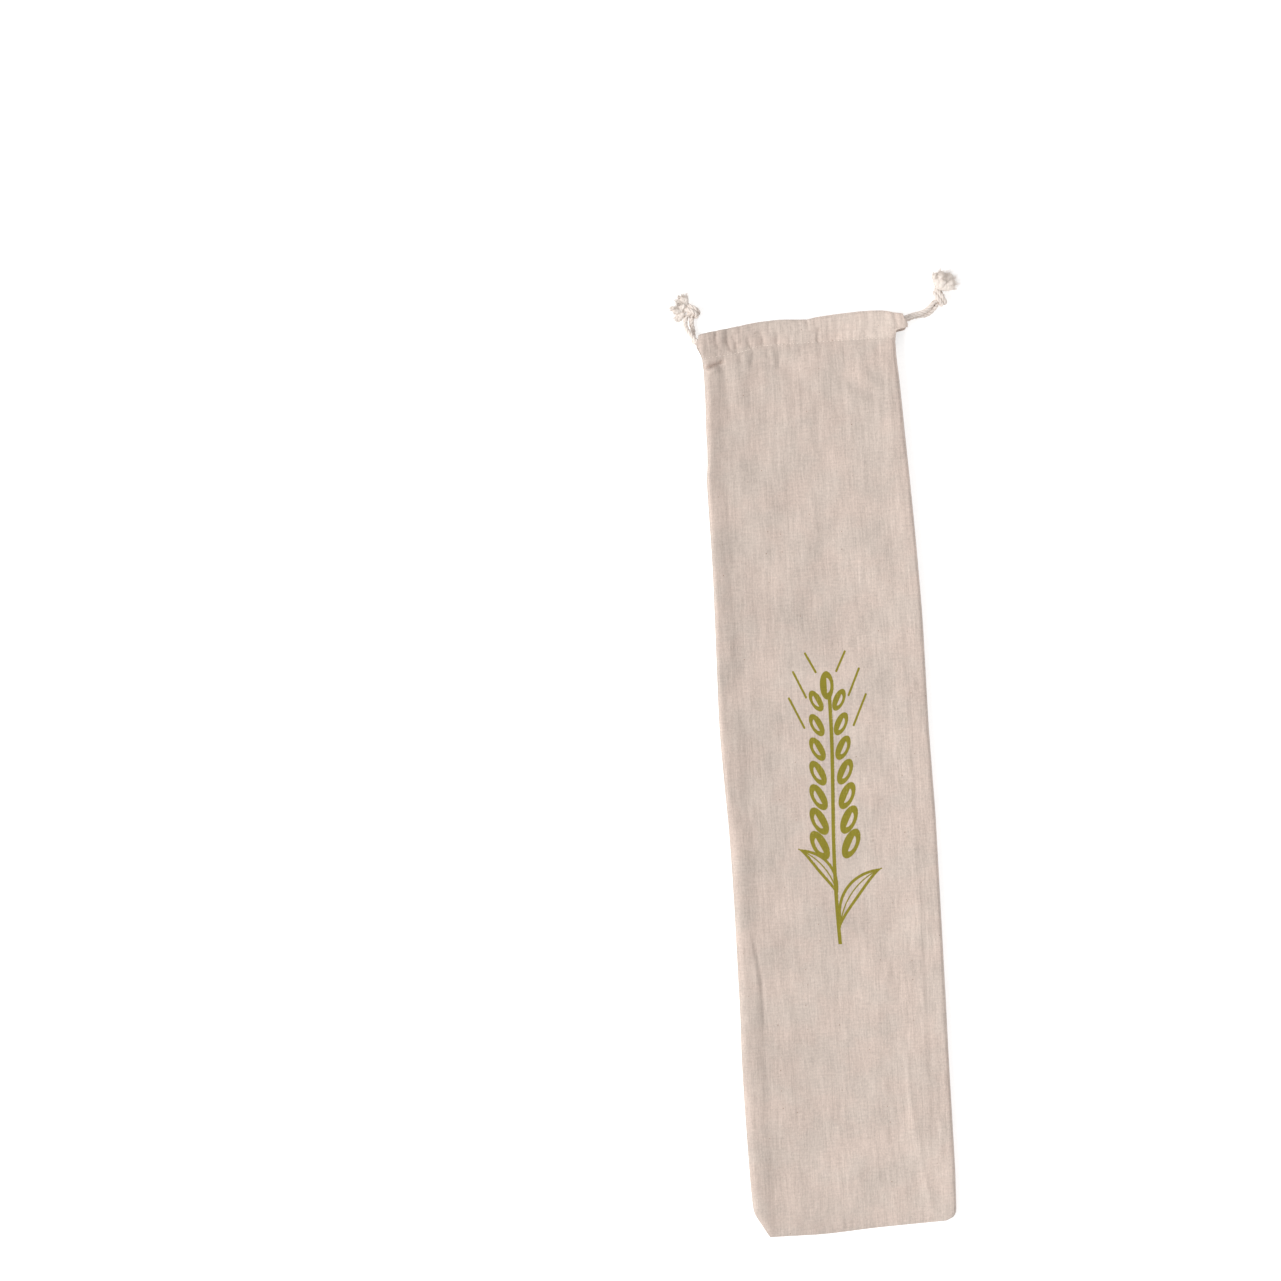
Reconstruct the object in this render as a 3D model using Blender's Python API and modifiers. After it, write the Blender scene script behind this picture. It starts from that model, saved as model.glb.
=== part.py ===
"""Linen bread bag, lying flat on its back, as Blender objects.

The bag is two long panels of cloth sewn together down both sides and across the bottom. The top
edge of each panel is folded inwards and stitched down as a casing, and a cotton cord runs through
each casing. The two cords are knotted together at both sides, and their cut ends are frayed.

Frame: metres, +Z up, the back panel on Z = 0, the mouth at +Y, the origin at the middle of the
cloth's footprint. Sizes in the tables are millimetres, and MM turns them into metres.

Each panel is a grid of columns across the bag and rows along it. A row belongs to the body, to the
outer layer of the casing, to the fold at the mouth, to the turned-in layer or to its tail under the
stitches, and each of these has a rule that says where the middle of the cloth lies.
"""

import math
from typing import NamedTuple

import bmesh
import bpy
from mathutils import Matrix, Vector

MM = 0.001

# Cloth and cord
CLOTH = 1.0              # thickness of one layer
CLEAR = 0.3              # least air between two layers
CORD_DIAMETER = 3.2
TUNNEL = 4.0             # height inside a casing
FOLD_RADIUS = (TUNNEL + CLOTH) / 2.0
LAYERED = CLOTH + CLEAR  # from the middle of one layer to the middle of the next

# Bag
END_Y = 335.0            # half the length of the cloth
STITCH_Y = 314.0         # the casing's stitches, before the slant of the mouth
CASING_END_X = 77.9      # half the width across the casing's ends
CASING_OPENS = 0.45      # share of the casing over which it opens to its full height
HEM_TAIL = 3.0           # turned-in cloth below the stitches
HEM_INSET = 2.0          # the turned-in layer is this much narrower at each side
SLANT_REACH = 120.0      # the slant of each end dies out this far in
MOUTH_GAP = 4.6          # height of the open mouth at its middle
BACK_TOP = TUNNEL + 2.0 * CLOTH                 # top of the back casing
FRONT_EDGE_INSET = CLOTH / 2.0 + FOLD_RADIUS    # from the front's mouth edge to where its fold starts
BACK_EDGE_INSET = CLOTH * 1.5 + FOLD_RADIUS     # the same at the back, which ends a cloth's thickness lower

# Rolled edges, where the two panels meet in a seam
CURL_WIDTH = 8.0         # the back panel lifts off the surface over this width
CURL_HEIGHT = 2.0
ROLL_WIDTH = 14.0        # the front panel drops to the seam over this width
MOUTH_ROLL_WIDTH = 30.0  # the same at the mouth
ROLL_POWER = 2.2
MOUTH_FADE = 14.0        # the seam turns into the casing's hem over this length


class SideStation(NamedTuple):
    """Left and right edge of the bag at one height along it."""

    y: float
    left: float
    right: float


class EndStation(NamedTuple):
    """Left and right end of the casing, at a share of the way from the stitches to the mouth."""

    share: float
    left: float
    right: float


class MouthStation(NamedTuple):
    """Stitch line and mouth edge at one place across the bag."""

    x: float
    stitch: float
    mouth: float


class BottomStation(NamedTuple):
    """Bottom edge at one place across the bag."""

    x: float
    y: float


class CrownStation(NamedTuple):
    """Height of the front panel along the middle of the bag."""

    y: float
    height: float


class Pleat(NamedTuple):
    """A puff of the front casing between two creases."""

    x: float
    half_width: float
    height: float


class Fold(NamedTuple):
    """A soft ridge, or a trough if its height is negative, along a straight run of the front."""

    x0: float
    y0: float
    x1: float
    y1: float
    half_width: float
    height: float


SIDES = (
    SideStation(-335.0, -59.75, 69.75),
    SideStation(-332.5, -61.35, 75.25),
    SideStation(-328.0, -63.95, 77.15),
    SideStation(-315.0, -70.35, 77.55),
    SideStation(-296.0, -71.45, 77.95),
    SideStation(-208.0, -72.85, 77.75),
    SideStation(-165.0, -72.15, 77.95),
    SideStation(-92.0, -72.15, 77.95),
    SideStation(-41.0, -72.85, 77.95),
    SideStation(-5.0, -74.35, 77.25),
    SideStation(41.0, -75.75, 76.45),
    SideStation(97.0, -75.05, 76.45),
    SideStation(155.0, -74.35, 75.05),
    SideStation(221.0, -75.05, 72.25),
    SideStation(238.0, -73.35, 71.35),
    SideStation(262.0, -73.55, 70.25),
    SideStation(284.0, -72.85, 69.15),
    SideStation(304.0, -72.85, 67.85),
    SideStation(314.0, -74.05, 67.75),
)

CASING_ENDS = (
    EndStation(0.00, -74.0, 67.8),
    EndStation(0.30, -75.2, 67.9),
    EndStation(0.42, -75.9, 70.6),
    EndStation(0.55, -76.7, 76.0),
    EndStation(0.68, -77.6, 77.2),
    EndStation(0.84, -77.8, 76.4),
    EndStation(1.00, -76.4, 74.2),
)

MOUTH = (
    MouthStation(-79.45, 309.9, 324.0),
    MouthStation(-72.75, 309.9, 325.2),
    MouthStation(-48.05, 309.9, 328.8),
    MouthStation(-30.65, 313.6, 331.2),
    MouthStation(-15.75, 313.9, 332.0),
    MouthStation(2.85, 314.2, 331.2),
    MouthStation(10.15, 314.3, 332.4),
    MouthStation(32.05, 314.5, 334.3),
    MouthStation(48.25, 314.6, 335.0),
    MouthStation(58.25, 314.4, 334.6),
    MouthStation(67.05, 314.0, 332.5),
    MouthStation(77.95, 313.5, 329.5),
)

BOTTOM = (
    BottomStation(-60.75, -335.0),
    BottomStation(-28.75, -335.0),
    BottomStation(19.25, -332.2),
    BottomStation(78.25, -329.6),
)

CROWN = (
    CrownStation(-335.0, 7.4),
    CrownStation(-200.0, 7.9),
    CrownStation(0.0, 8.2),
    CrownStation(150.0, 8.8),
    CrownStation(230.0, 10.2),
    CrownStation(280.0, 12.3),
    CrownStation(314.0, 13.0),
)

PLEATS = (
    Pleat(-67.75, 4.0, 0.7),
    Pleat(-57.75, 3.6, 1.0),
    Pleat(-45.95, 4.2, 1.0),
    Pleat(-36.35, 3.6, 0.8),
    Pleat(-24.75, 6.0, 0.9),
    Pleat(-7.75, 7.5, 0.8),
    Pleat(7.25, 4.0, 0.9),
    Pleat(18.25, 5.5, 0.7),
    Pleat(36.25, 10.0, 0.6),
    Pleat(57.25, 9.0, 0.6),
)

FOLDS = (
    Fold(-70.75, 302.0, -57.75, 306.0, 3.0, 1.0),     # pinch under the casing at the left
    Fold(-58.75, 296.0, -57.25, 266.0, 4.5, -1.0),    # soft valley running down from it
    Fold(-50.75, 304.0, -46.75, 250.0, 8.0, 0.6),
    Fold(34.25, 285.0, 51.25, 266.0, 5.0, 0.8),       # slanting wrinkle at the right
    Fold(-14.75, 298.0, 3.25, 276.0, 9.0, -0.7),
    Fold(-58.75, -60.0, -57.75, 190.0, 5.0, -0.5),    # edge of the seam allowance inside
    Fold(-59.25, -118.0, -56.75, -180.0, 3.0, 0.7),   # crease low on the left edge
    Fold(49.25, -220.0, 57.25, -310.0, 5.0, 0.6),     # ridge low on the right
    Fold(-30.75, -297.0, 69.25, -297.0, 4.0, 0.4),    # faint line across the bottom
    Fold(-20.75, 120.0, -10.75, -120.0, 14.0, 0.5),
    Fold(29.25, 60.0, 23.25, -260.0, 12.0, 0.6),
)

# Knots: a lumpy head of two crossed turns of cord, and a tuft of frayed locks
HEAD_RADIUS = 4.6
TURN_RADIUS = 3.8
TURN_THICKNESS = 1.65
TURN_TILTS = (62.0, 118.0)
LOCK_COUNT = 22
LOCK_ROOT = 1.3          # thickness of a lock at its root
LOCK_TIP = 0.5
LOCK_DEPTH = 0.45        # locks start this share of the head's radius from its middle
LOCK_UNEVEN = 0.18       # share by which a lock is longer or shorter than the mean
LOCK_FLOOR = 0.35        # a lock's middle stays this high, so that the tuft rests on the surface


class Knot(NamedTuple):
    """Middle of a knot, the way its cords come in, and the way and length of its tuft."""

    x: float
    y: float
    z: float
    cord_heading: float
    tuft_heading: float
    tuft_spread: float
    tuft_length: float


RIGHT_KNOT = Knot(101.9, 342.0, 5.6, 50.0, 66.0, 38.0, 15.5)
LEFT_KNOT = Knot(-79.9, 343.8, 5.6, 95.0, 156.0, 44.0, 12.5)


class RoutePoint(NamedTuple):
    """A point that a cord passes through."""

    x: float
    y: float
    z: float


# Free stretches of the two cords, from the left knot to the casings and on to the right knot
FRONT_LEFT = (
    RoutePoint(-83.9, 338.5, 5.6),
    RoutePoint(-84.8, 333.8, 5.0),
    RoutePoint(-83.6, 329.2, 5.8),
    RoutePoint(-81.2, 325.4, 7.4),
)
FRONT_RIGHT = (
    RoutePoint(76.0, 327.0, 9.8),
    RoutePoint(81.6, 330.0, 8.2),
    RoutePoint(86.6, 331.3, 7.3),
    RoutePoint(91.0, 333.7, 6.5),
    RoutePoint(94.4, 336.5, 6.3),
    RoutePoint(96.9, 339.2, 6.4),
)
BACK_LEFT = (
    RoutePoint(-79.7, 338.2, 4.5),
    RoutePoint(-80.2, 333.6, 2.9),
    RoutePoint(-79.3, 329.4, 2.3),
    RoutePoint(-79.3, 325.2, 2.3),
    RoutePoint(-79.5, 321.6, 2.6),
)
BACK_RIGHT = (
    RoutePoint(76.0, 326.0, 3.0),
    RoutePoint(81.6, 329.2, 2.6),
    RoutePoint(86.6, 330.2, 2.2),
    RoutePoint(91.0, 330.7, 2.1),
    RoutePoint(94.6, 332.6, 2.5),
    RoutePoint(98.6, 336.7, 4.4),
)
CASING_STOPS = (-77.0, -71.0, -63.0, -50.0, -34.0, -12.0, 12.0, 34.0, 50.0, 62.0, 70.0)
FRONT_BELOW_MOUTH = 4.4  # the front cord's middle, below the mouth's edge
BACK_BELOW_MOUTH = 5.4
CORD_POINT_STEP = 7.0
CURVE_PARTS = 24         # steps from one route point to the next, before they are spaced evenly

# Grid of a panel
FRONT_COLUMNS = 34
FRONT_EDGE_SHARES = (0.0, 0.01, 0.028, 0.06)
FRONT_ROW_STEP = 27.0
BACK_COLUMNS = 17
BACK_EDGE_SHARES = (0.0, 0.012, 0.03, 0.06)
BACK_ROW_STEP = 44.0
BOTTOM_INSETS = (0.0, 1.5, 4.0, 8.0, 14.0, 24.0)
CASING_SHARES = (0.0, 0.14, 0.3, 0.45, 0.7, 1.0)
FOLD_TURNS = (36.0, 72.0, 108.0, 144.0)

# Colour and roughness
LINEN = ((0.64, 0.56, 0.49, 1.0), 0.92)
COTTON = ((0.86, 0.80, 0.70, 1.0), 0.88)


def clamp(value, low=0.0, high=1.0):
    """The value, kept between low and high."""
    return min(max(value, low), high)


def smooth(value):
    """A soft step from 0 at 0 to 1 at 1."""
    share = clamp(value)
    return share * share * (3.0 - 2.0 * share)


def read(table, at, column):
    """Reads one column of a table at a place in its first column, on a curve with no overshoot."""
    places = [row[0] for row in table]
    values = [getattr(row, column) for row in table]
    at = clamp(at, places[0], places[-1])
    after = next(index for index in range(1, len(places)) if at <= places[index])
    slopes = [(values[i + 1] - values[i]) / (places[i + 1] - places[i]) for i in range(len(places) - 1)]

    def tangent(index):
        if index == 0 or index == len(places) - 1:
            return slopes[min(index, len(slopes) - 1)]
        before, behind = slopes[index - 1], slopes[index]
        return 2.0 * before * behind / (before + behind) if before * behind > 0.0 else 0.0

    span = places[after] - places[after - 1]
    t = (at - places[after - 1]) / span
    left = 1.0 - t
    start = (1.0 + 2.0 * t) * left ** 2 * values[after - 1] + t * left ** 2 * span * tangent(after - 1)
    end = (1.0 + 2.0 * left) * t ** 2 * values[after] - left * t ** 2 * span * tangent(after)
    return start + end


def rolled(distance, width):
    """0 at a rolled edge, 1 once the cloth has left it."""
    return 1.0 - (1.0 - clamp(distance / width)) ** ROLL_POWER


def near_mouth(y):
    """0 along most of the body, 1 at the stitch line."""
    return smooth((y - STITCH_Y) / SLANT_REACH + 1.0)


def opened(share):
    """0 at the stitch line, 1 where the casing has its full height."""
    return smooth(share / CASING_OPENS)


def body_place(across, y):
    """Where the cloth below the stitch line lies: its x, y, and its distance to each edge."""
    left, right = read(SIDES, y, "left"), read(SIDES, y, "right")
    x = left + across * (right - left)
    mouth_slant = read(MOUTH, x, "stitch") - STITCH_Y
    bottom_slant = read(BOTTOM, x, "y") + END_Y
    slanted = y + mouth_slant * near_mouth(y)
    slanted += bottom_slant * smooth(1.0 - (y + END_Y) / SLANT_REACH)
    return x, slanted, min(x - left, right - x), y + END_Y


def casing_place(across, share, inset=0.0):
    """Where the casing lies at a share of the way from the stitches to the mouth."""
    left, right = read(CASING_ENDS, share, "left") + inset, read(CASING_ENDS, share, "right") - inset
    x = left + across * (right - left)
    stitch, mouth = read(MOUTH, x, "stitch"), read(MOUTH, x, "mouth")
    from_edge = min(x - left, right - x) + inset
    return x, stitch, mouth, from_edge + (CASING_END_X - abs(x) - from_edge) * opened(share)


def narrowed(across, y):
    """The place across the body that the narrower turned-in layer covers."""
    width = read(SIDES, y, "right") - read(SIDES, y, "left")
    return (HEM_INSET + across * (width - 2.0 * HEM_INSET)) / width


def relief(x, y):
    """Height that the folds add to the front panel."""
    height = 0.0
    for fold in FOLDS:
        run_x, run_y = fold.x1 - fold.x0, fold.y1 - fold.y0
        length = math.hypot(run_x, run_y)
        along = ((x - fold.x0) * run_x + (y - fold.y0) * run_y) / length
        aside = ((x - fold.x0) * run_y - (y - fold.y0) * run_x) / length
        ends = smooth((along + fold.half_width) / (2.0 * fold.half_width))
        ends *= smooth((length + fold.half_width - along) / (2.0 * fold.half_width))
        height += fold.height * ends * math.exp(-(aside / fold.half_width) ** 2)
    return height


def pleated(x):
    """Height that the puffs of the casing add at its crown."""
    return sum(p.height * math.exp(-((x - p.x) / p.half_width) ** 2) for p in PLEATS)


def seam_height(y):
    """Height of the front panel's edge, along the seam and on the turned-in hem."""
    lifted = CLOTH / 2.0 + CURL_HEIGHT + LAYERED
    hemmed = 1.5 * CLOTH + LAYERED + CLEAR + LAYERED
    return lifted + (hemmed - lifted) * smooth((y - STITCH_Y + HEM_TAIL + MOUTH_FADE) / MOUTH_FADE)


def front_body(across, y):
    """The front panel under the stitch line."""
    x, slanted, side, bottom = body_place(across, y)
    low = seam_height(y)
    width = ROLL_WIDTH + (MOUTH_ROLL_WIDTH - ROLL_WIDTH) * near_mouth(y)
    risen = rolled(side, width) * rolled(bottom, ROLL_WIDTH)
    height = low + (read(CROWN, y, "height") - low) * risen
    return x, slanted, height + relief(x, slanted) * rolled(side, ROLL_WIDTH) * rolled(bottom, ROLL_WIDTH)


def tunnel_depth(share):
    """From the middle of the outer layer to the middle of the turned-in layer."""
    return LAYERED + (2.0 * FOLD_RADIUS - LAYERED) * opened(share)


def front_casing_height(side, share):
    """Height of the front casing's outer layer, without its puffs."""
    crown_low = CROWN[-1].height
    crown_high = BACK_TOP + MOUTH_GAP + CLOTH / 2.0 + 2.0 * FOLD_RADIUS
    edge_low = seam_height(STITCH_Y)
    edge_high = BACK_TOP + CLEAR + CLOTH / 2.0 + 2.0 * FOLD_RADIUS
    crown = crown_low + (crown_high - crown_low) * opened(share)
    edge = edge_low + (edge_high - edge_low) * opened(share)
    return edge + (crown - edge) * rolled(side, MOUTH_ROLL_WIDTH)


def front_outer(across, share):
    """The outer layer of the front casing."""
    x, stitch, mouth, side = casing_place(across, share)
    y = stitch + share * (mouth - FRONT_EDGE_INSET - stitch)
    puffed = pleated(x) * smooth(share / 0.5) * rolled(side, ROLL_WIDTH)
    return x, y, front_casing_height(side, share) + puffed


def front_fold(across, turn):
    """The mouth's edge, as turn goes from 0 at the outer layer to 180 degrees at the inner one."""
    inset = HEM_INSET * smooth(turn / 180.0)
    x, _, mouth, side = casing_place(across, 1.0, inset)
    angle = math.radians(turn)
    puffed = pleated(x) * rolled(side, ROLL_WIDTH) * (1.0 + math.cos(angle)) / 2.0
    middle = front_casing_height(side, 1.0) - FOLD_RADIUS
    y = mouth - FRONT_EDGE_INSET + FOLD_RADIUS * math.sin(angle)
    return x, y, middle + FOLD_RADIUS * math.cos(angle) + puffed


def front_inner(across, share):
    """The turned-in layer of the front casing."""
    x, stitch, mouth, side = casing_place(across, share, HEM_INSET)
    y = stitch + share * (mouth - FRONT_EDGE_INSET - stitch)
    return x, y, front_casing_height(side, share) - tunnel_depth(share)


def front_hem(across, below):
    """The turned-in layer below the stitch line, close under the front."""
    x, y, height = front_body(narrowed(across, STITCH_Y - below), STITCH_Y - below)
    return x, y, height - LAYERED


def back_body(across, y):
    """The back panel under the stitch line: flat on the surface, its edges curling up to the seam."""
    x, slanted, side, bottom = body_place(across, y)
    curl = CURL_HEIGHT * smooth((STITCH_Y - HEM_TAIL - y) / MOUTH_FADE)
    flat = min(clamp(side / CURL_WIDTH), clamp(bottom / CURL_WIDTH))
    return x, slanted, CLOTH / 2.0 + curl * (1.0 - flat) ** 2


def back_outer(across, share):
    """The outer layer of the back casing, on the surface."""
    x, stitch, mouth, _ = casing_place(across, share)
    return x, stitch + share * (mouth - BACK_EDGE_INSET - stitch), CLOTH / 2.0


def back_fold(across, turn):
    """The back panel's mouth edge, as turn goes from 0 on the surface to 180 degrees on top."""
    inset = HEM_INSET * smooth(turn / 180.0)
    x, _, mouth, _ = casing_place(across, 1.0, inset)
    angle = math.radians(turn)
    y = mouth - BACK_EDGE_INSET + FOLD_RADIUS * math.sin(angle)
    return x, y, CLOTH / 2.0 + FOLD_RADIUS * (1.0 - math.cos(angle))


def back_inner(across, share):
    """The turned-in layer of the back casing."""
    x, stitch, mouth, _ = casing_place(across, share, HEM_INSET)
    return x, stitch + share * (mouth - BACK_EDGE_INSET - stitch), CLOTH / 2.0 + tunnel_depth(share)


def back_hem(across, below):
    """The turned-in layer under the stitch line, close over the back."""
    x, y, height = back_body(narrowed(across, STITCH_Y - below), STITCH_Y - below)
    return x, y, height + LAYERED


def spread(count, edge_shares):
    """Shares from 0 to 1: close together at both edges, evenly spaced between."""
    first, last = edge_shares[-1], 1.0 - edge_shares[-1]
    middle = [first + (last - first) * index / count for index in range(count + 1)]
    return list(edge_shares[:-1]) + middle + [1.0 - share for share in reversed(edge_shares[:-1])]


def body_rows(step):
    """Places along the body: close together at the bottom edge and under the casing."""
    near_bottom = [-END_Y + inset for inset in BOTTOM_INSETS]
    top = STITCH_Y - HEM_TAIL - MOUTH_FADE
    count = round((top - near_bottom[-1]) / step)
    even = [near_bottom[-1] + (top - near_bottom[-1]) * index / count for index in range(1, count + 1)]
    return near_bottom + even + [top + MOUTH_FADE * 0.55, STITCH_Y - HEM_TAIL]


def panel(name, material, columns, rows, collection):
    """A sheet whose grid of columns and rows is laid where each row's rule puts it."""
    mesh = bpy.data.meshes.new(name)
    grid = bmesh.new()
    bmesh.ops.create_grid(grid, x_segments=len(columns) - 1, y_segments=len(rows) - 1, size=0.5)
    for vertex in grid.verts:
        column = round((vertex.co.x + 0.5) * (len(columns) - 1))
        rule, value = rows[round((vertex.co.y + 0.5) * (len(rows) - 1))]
        vertex.co = Vector(rule(columns[column], value)) * MM
    grid.to_mesh(mesh)
    grid.free()
    mesh.shade_smooth()
    thing = bpy.data.objects.new(name, mesh)
    collection.objects.link(thing)
    thickness = thing.modifiers.new("cloth", "SOLIDIFY")
    thickness.thickness = CLOTH * MM
    thickness.offset = 0.0
    thickness.use_even_offset = True
    mesh.materials.append(material)
    return thing


def casing_rows(outer, fold, inner, hem):
    """Rows of the casing, from the stitches round the mouth's edge and back to the tail of the hem."""
    rows = [(outer, share) for share in CASING_SHARES]
    rows += [(fold, turn) for turn in FOLD_TURNS]
    rows += [(inner, share) for share in reversed(CASING_SHARES)]
    return rows + [(hem, HEM_TAIL)]


def front_panel(material, collection):
    """The printed side of the bag."""
    columns = spread(FRONT_COLUMNS, FRONT_EDGE_SHARES)
    rows = [(front_body, y) for y in body_rows(FRONT_ROW_STEP)]
    rows += casing_rows(front_outer, front_fold, front_inner, front_hem)
    return panel("front_panel", material, columns, rows, collection)


def back_panel(material, collection):
    """The side that the bag lies on."""
    columns = spread(BACK_COLUMNS, BACK_EDGE_SHARES)
    rows = [(back_body, y) for y in body_rows(BACK_ROW_STEP)]
    rows += casing_rows(back_outer, back_fold, back_inner, back_hem)
    return panel("back_panel", material, columns, rows, collection)


def front_casing_route():
    """The front cord's points inside its casing, midway between the two layers."""
    points = []
    for x in CASING_STOPS:
        y = read(MOUTH, x, "mouth") - FRONT_BELOW_MOUTH
        points.append(RoutePoint(x, y, front_casing_height(CASING_END_X - abs(x), 1.0) - FOLD_RADIUS))
    return tuple(points)


def back_casing_route():
    """The back cord's points inside its casing."""
    height = CLOTH / 2.0 + FOLD_RADIUS
    return tuple(RoutePoint(x, read(MOUTH, x, "mouth") - BACK_BELOW_MOUTH, height) for x in CASING_STOPS)


def smooth_route(points, step):
    """Evenly spaced places on a smooth curve through the given points."""
    knots = [Vector(p) for p in (points[0], *points, points[-1])]
    knots[0] = knots[1] * 2.0 - knots[2]
    knots[-1] = knots[-2] * 2.0 - knots[-3]
    fine = []
    for before, start, end, after in zip(knots, knots[1:], knots[2:], knots[3:]):
        for part in range(CURVE_PARTS):
            t = part / CURVE_PARTS
            fine.append(0.5 * (2.0 * start + (end - before) * t
                               + (2.0 * before - 5.0 * start + 4.0 * end - after) * t * t
                               + (3.0 * start - before - 3.0 * end + after) * t ** 3))
    fine.append(knots[-2])
    lengths = [0.0]
    for start, end in zip(fine, fine[1:]):
        lengths.append(lengths[-1] + (end - start).length)
    count = round(lengths[-1] / step)
    places = []
    index = 0
    for number in range(count + 1):
        wanted = lengths[-1] * number / count
        while index < len(fine) - 2 and lengths[index + 1] < wanted:
            index += 1
        share = (wanted - lengths[index]) / (lengths[index + 1] - lengths[index])
        places.append(fine[index].lerp(fine[index + 1], clamp(share)))
    return places


def cord(name, points, material, collection):
    """A round cord along a smooth route."""
    curve = bpy.data.curves.new(name, "CURVE")
    curve.dimensions = "3D"
    curve.bevel_depth = CORD_DIAMETER / 2.0 * MM
    curve.bevel_resolution = 2
    curve.use_fill_caps = True
    spline = curve.splines.new("POLY")
    places = smooth_route(points, CORD_POINT_STEP)
    spline.points.add(len(places) - 1)
    for point, place in zip(spline.points, places):
        point.co = (place.x * MM, place.y * MM, place.z * MM, 1.0)
    curve.materials.append(material)
    thing = bpy.data.objects.new(name, curve)
    collection.objects.link(thing)
    return thing


def turn_mesh(name, matrix):
    """One turn of cord round the knot."""
    bpy.ops.mesh.primitive_torus_add(major_segments=16, minor_segments=7,
                                     major_radius=TURN_RADIUS * MM, minor_radius=TURN_THICKNESS * MM)
    turn = bpy.context.active_object
    turn.name = name
    turn.data.transform(matrix)
    return turn


def lock_mesh(name, root, way, length):
    """One frayed lock: a thin four-sided spike."""
    shape = bmesh.new()
    bmesh.ops.create_cone(shape, cap_ends=True, segments=4, radius1=LOCK_ROOT / 2.0 * MM,
                          radius2=LOCK_TIP / 2.0 * MM, depth=length * MM)
    centre = (root + way * length / 2.0) * MM
    place = Matrix.Translation(centre) @ way.to_track_quat("Z", "Y").to_matrix().to_4x4()
    bmesh.ops.transform(shape, matrix=place, verts=shape.verts)
    mesh = bpy.data.meshes.new(name)
    shape.to_mesh(mesh)
    shape.free()
    thing = bpy.data.objects.new(name, mesh)
    bpy.context.scene.collection.objects.link(thing)
    return thing


def tuft_ways(knot):
    """Directions of the locks, fanned round the tuft's heading."""
    heading = Matrix.Rotation(math.radians(knot.tuft_heading), 3, "Z") @ Vector((1.0, 0.0, 0.0))
    across = Vector((-heading.y, heading.x, 0.0))
    up = Vector((0.0, 0.0, 1.0))
    golden = math.pi * (3.0 - math.sqrt(5.0))
    for number in range(LOCK_COUNT):
        lean = math.radians(knot.tuft_spread) * math.sqrt((number + 0.5) / LOCK_COUNT)
        turn = number * golden
        aside = across * math.cos(turn) + up * math.sin(turn)
        yield number, (heading * math.cos(lean) + aside * math.sin(lean)).normalized()


def knot_piece(name, knot, material, collection, helpers):
    """A knot's head and tuft, joined into one solid."""
    middle = Vector((knot.x, knot.y, knot.z))
    bpy.ops.mesh.primitive_uv_sphere_add(segments=14, ring_count=9, radius=HEAD_RADIUS * MM)
    head = bpy.context.active_object
    head.name = name
    head.data.transform(Matrix.Translation(middle * MM))
    adopt(head, collection)
    joined = bpy.data.collections.new(name + "_makings")
    helpers.children.link(joined)
    facing = Matrix.Rotation(math.radians(knot.cord_heading), 4, "Z")
    for number, tilt in enumerate(TURN_TILTS):
        leaning = Matrix.Rotation(math.radians(tilt), 4, "Y")
        adopt(turn_mesh(f"{name}_turn_{number}", Matrix.Translation(middle * MM) @ facing @ leaning), joined)
    for number, way in tuft_ways(knot):
        root = middle + way * HEAD_RADIUS * LOCK_DEPTH
        length = knot.tuft_length * (1.0 - LOCK_UNEVEN + LOCK_UNEVEN * math.cos(2.4 * number))
        lowest = (LOCK_FLOOR - root.z) / length
        if way.z < lowest:
            level = math.sqrt((1.0 - lowest ** 2) / (way.x ** 2 + way.y ** 2))
            way = Vector((way.x * level, way.y * level, lowest))
        adopt(lock_mesh(f"{name}_lock_{number}", root, way, length), joined)
    for helper in joined.objects:
        helper.hide_render = True
        helper.display_type = "WIRE"
    union = head.modifiers.new("joined", "BOOLEAN")
    union.operation = "UNION"
    union.operand_type = "COLLECTION"
    union.collection = joined
    union.solver = "EXACT"
    head.data.materials.append(material)
    return head


def adopt(thing, collection):
    """Puts an object in one collection only."""
    for owner in list(thing.users_collection):
        owner.objects.unlink(thing)
    collection.objects.link(thing)


def finish(name, look):
    """A plain material of one colour and roughness."""
    colour, roughness = look
    material = bpy.data.materials.new(name)
    material.use_nodes = True
    surface = material.node_tree.nodes["Principled BSDF"]
    surface.inputs["Base Color"].default_value = colour
    surface.inputs["Roughness"].default_value = roughness
    surface.inputs["Metallic"].default_value = 0.0
    return material


def main():
    """Clears the scene and builds the bag."""
    for old in list(bpy.data.objects):
        bpy.data.objects.remove(old, do_unlink=True)
    bag = bpy.data.collections.new("linen_bread_bag")
    helpers = bpy.data.collections.new("makings")
    bpy.context.scene.collection.children.link(bag)
    bpy.context.scene.collection.children.link(helpers)
    linen = finish("linen", LINEN)
    cotton = finish("cotton", COTTON)
    back_panel(linen, bag)
    front_panel(linen, bag)
    cord("drawstring_front", (*FRONT_LEFT, *front_casing_route(), *FRONT_RIGHT), cotton, bag)
    cord("drawstring_back", (*BACK_LEFT, *back_casing_route(), *BACK_RIGHT), cotton, bag)
    knot_piece("knot_right", RIGHT_KNOT, cotton, bag, helpers)
    knot_piece("knot_left", LEFT_KNOT, cotton, bag, helpers)


main()
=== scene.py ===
"""Linen bread bag, as it looks lying flat on a pale table.

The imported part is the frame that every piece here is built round. The two panels of cloth are laid
again as finer sheets over the same outlines and layer heights, with the casing's gathers, the
creases and the turned-in seams added. The two drawstrings, the knots and their frayed ends are
twisted from plies of cotton, and the sewing thread is laid stitch by stitch.

Sizes are millimetres unless a name says otherwise, and MM turns them into metres. +X is to the
right, +Y towards the mouth and +Z up.
"""

from __future__ import annotations

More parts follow.
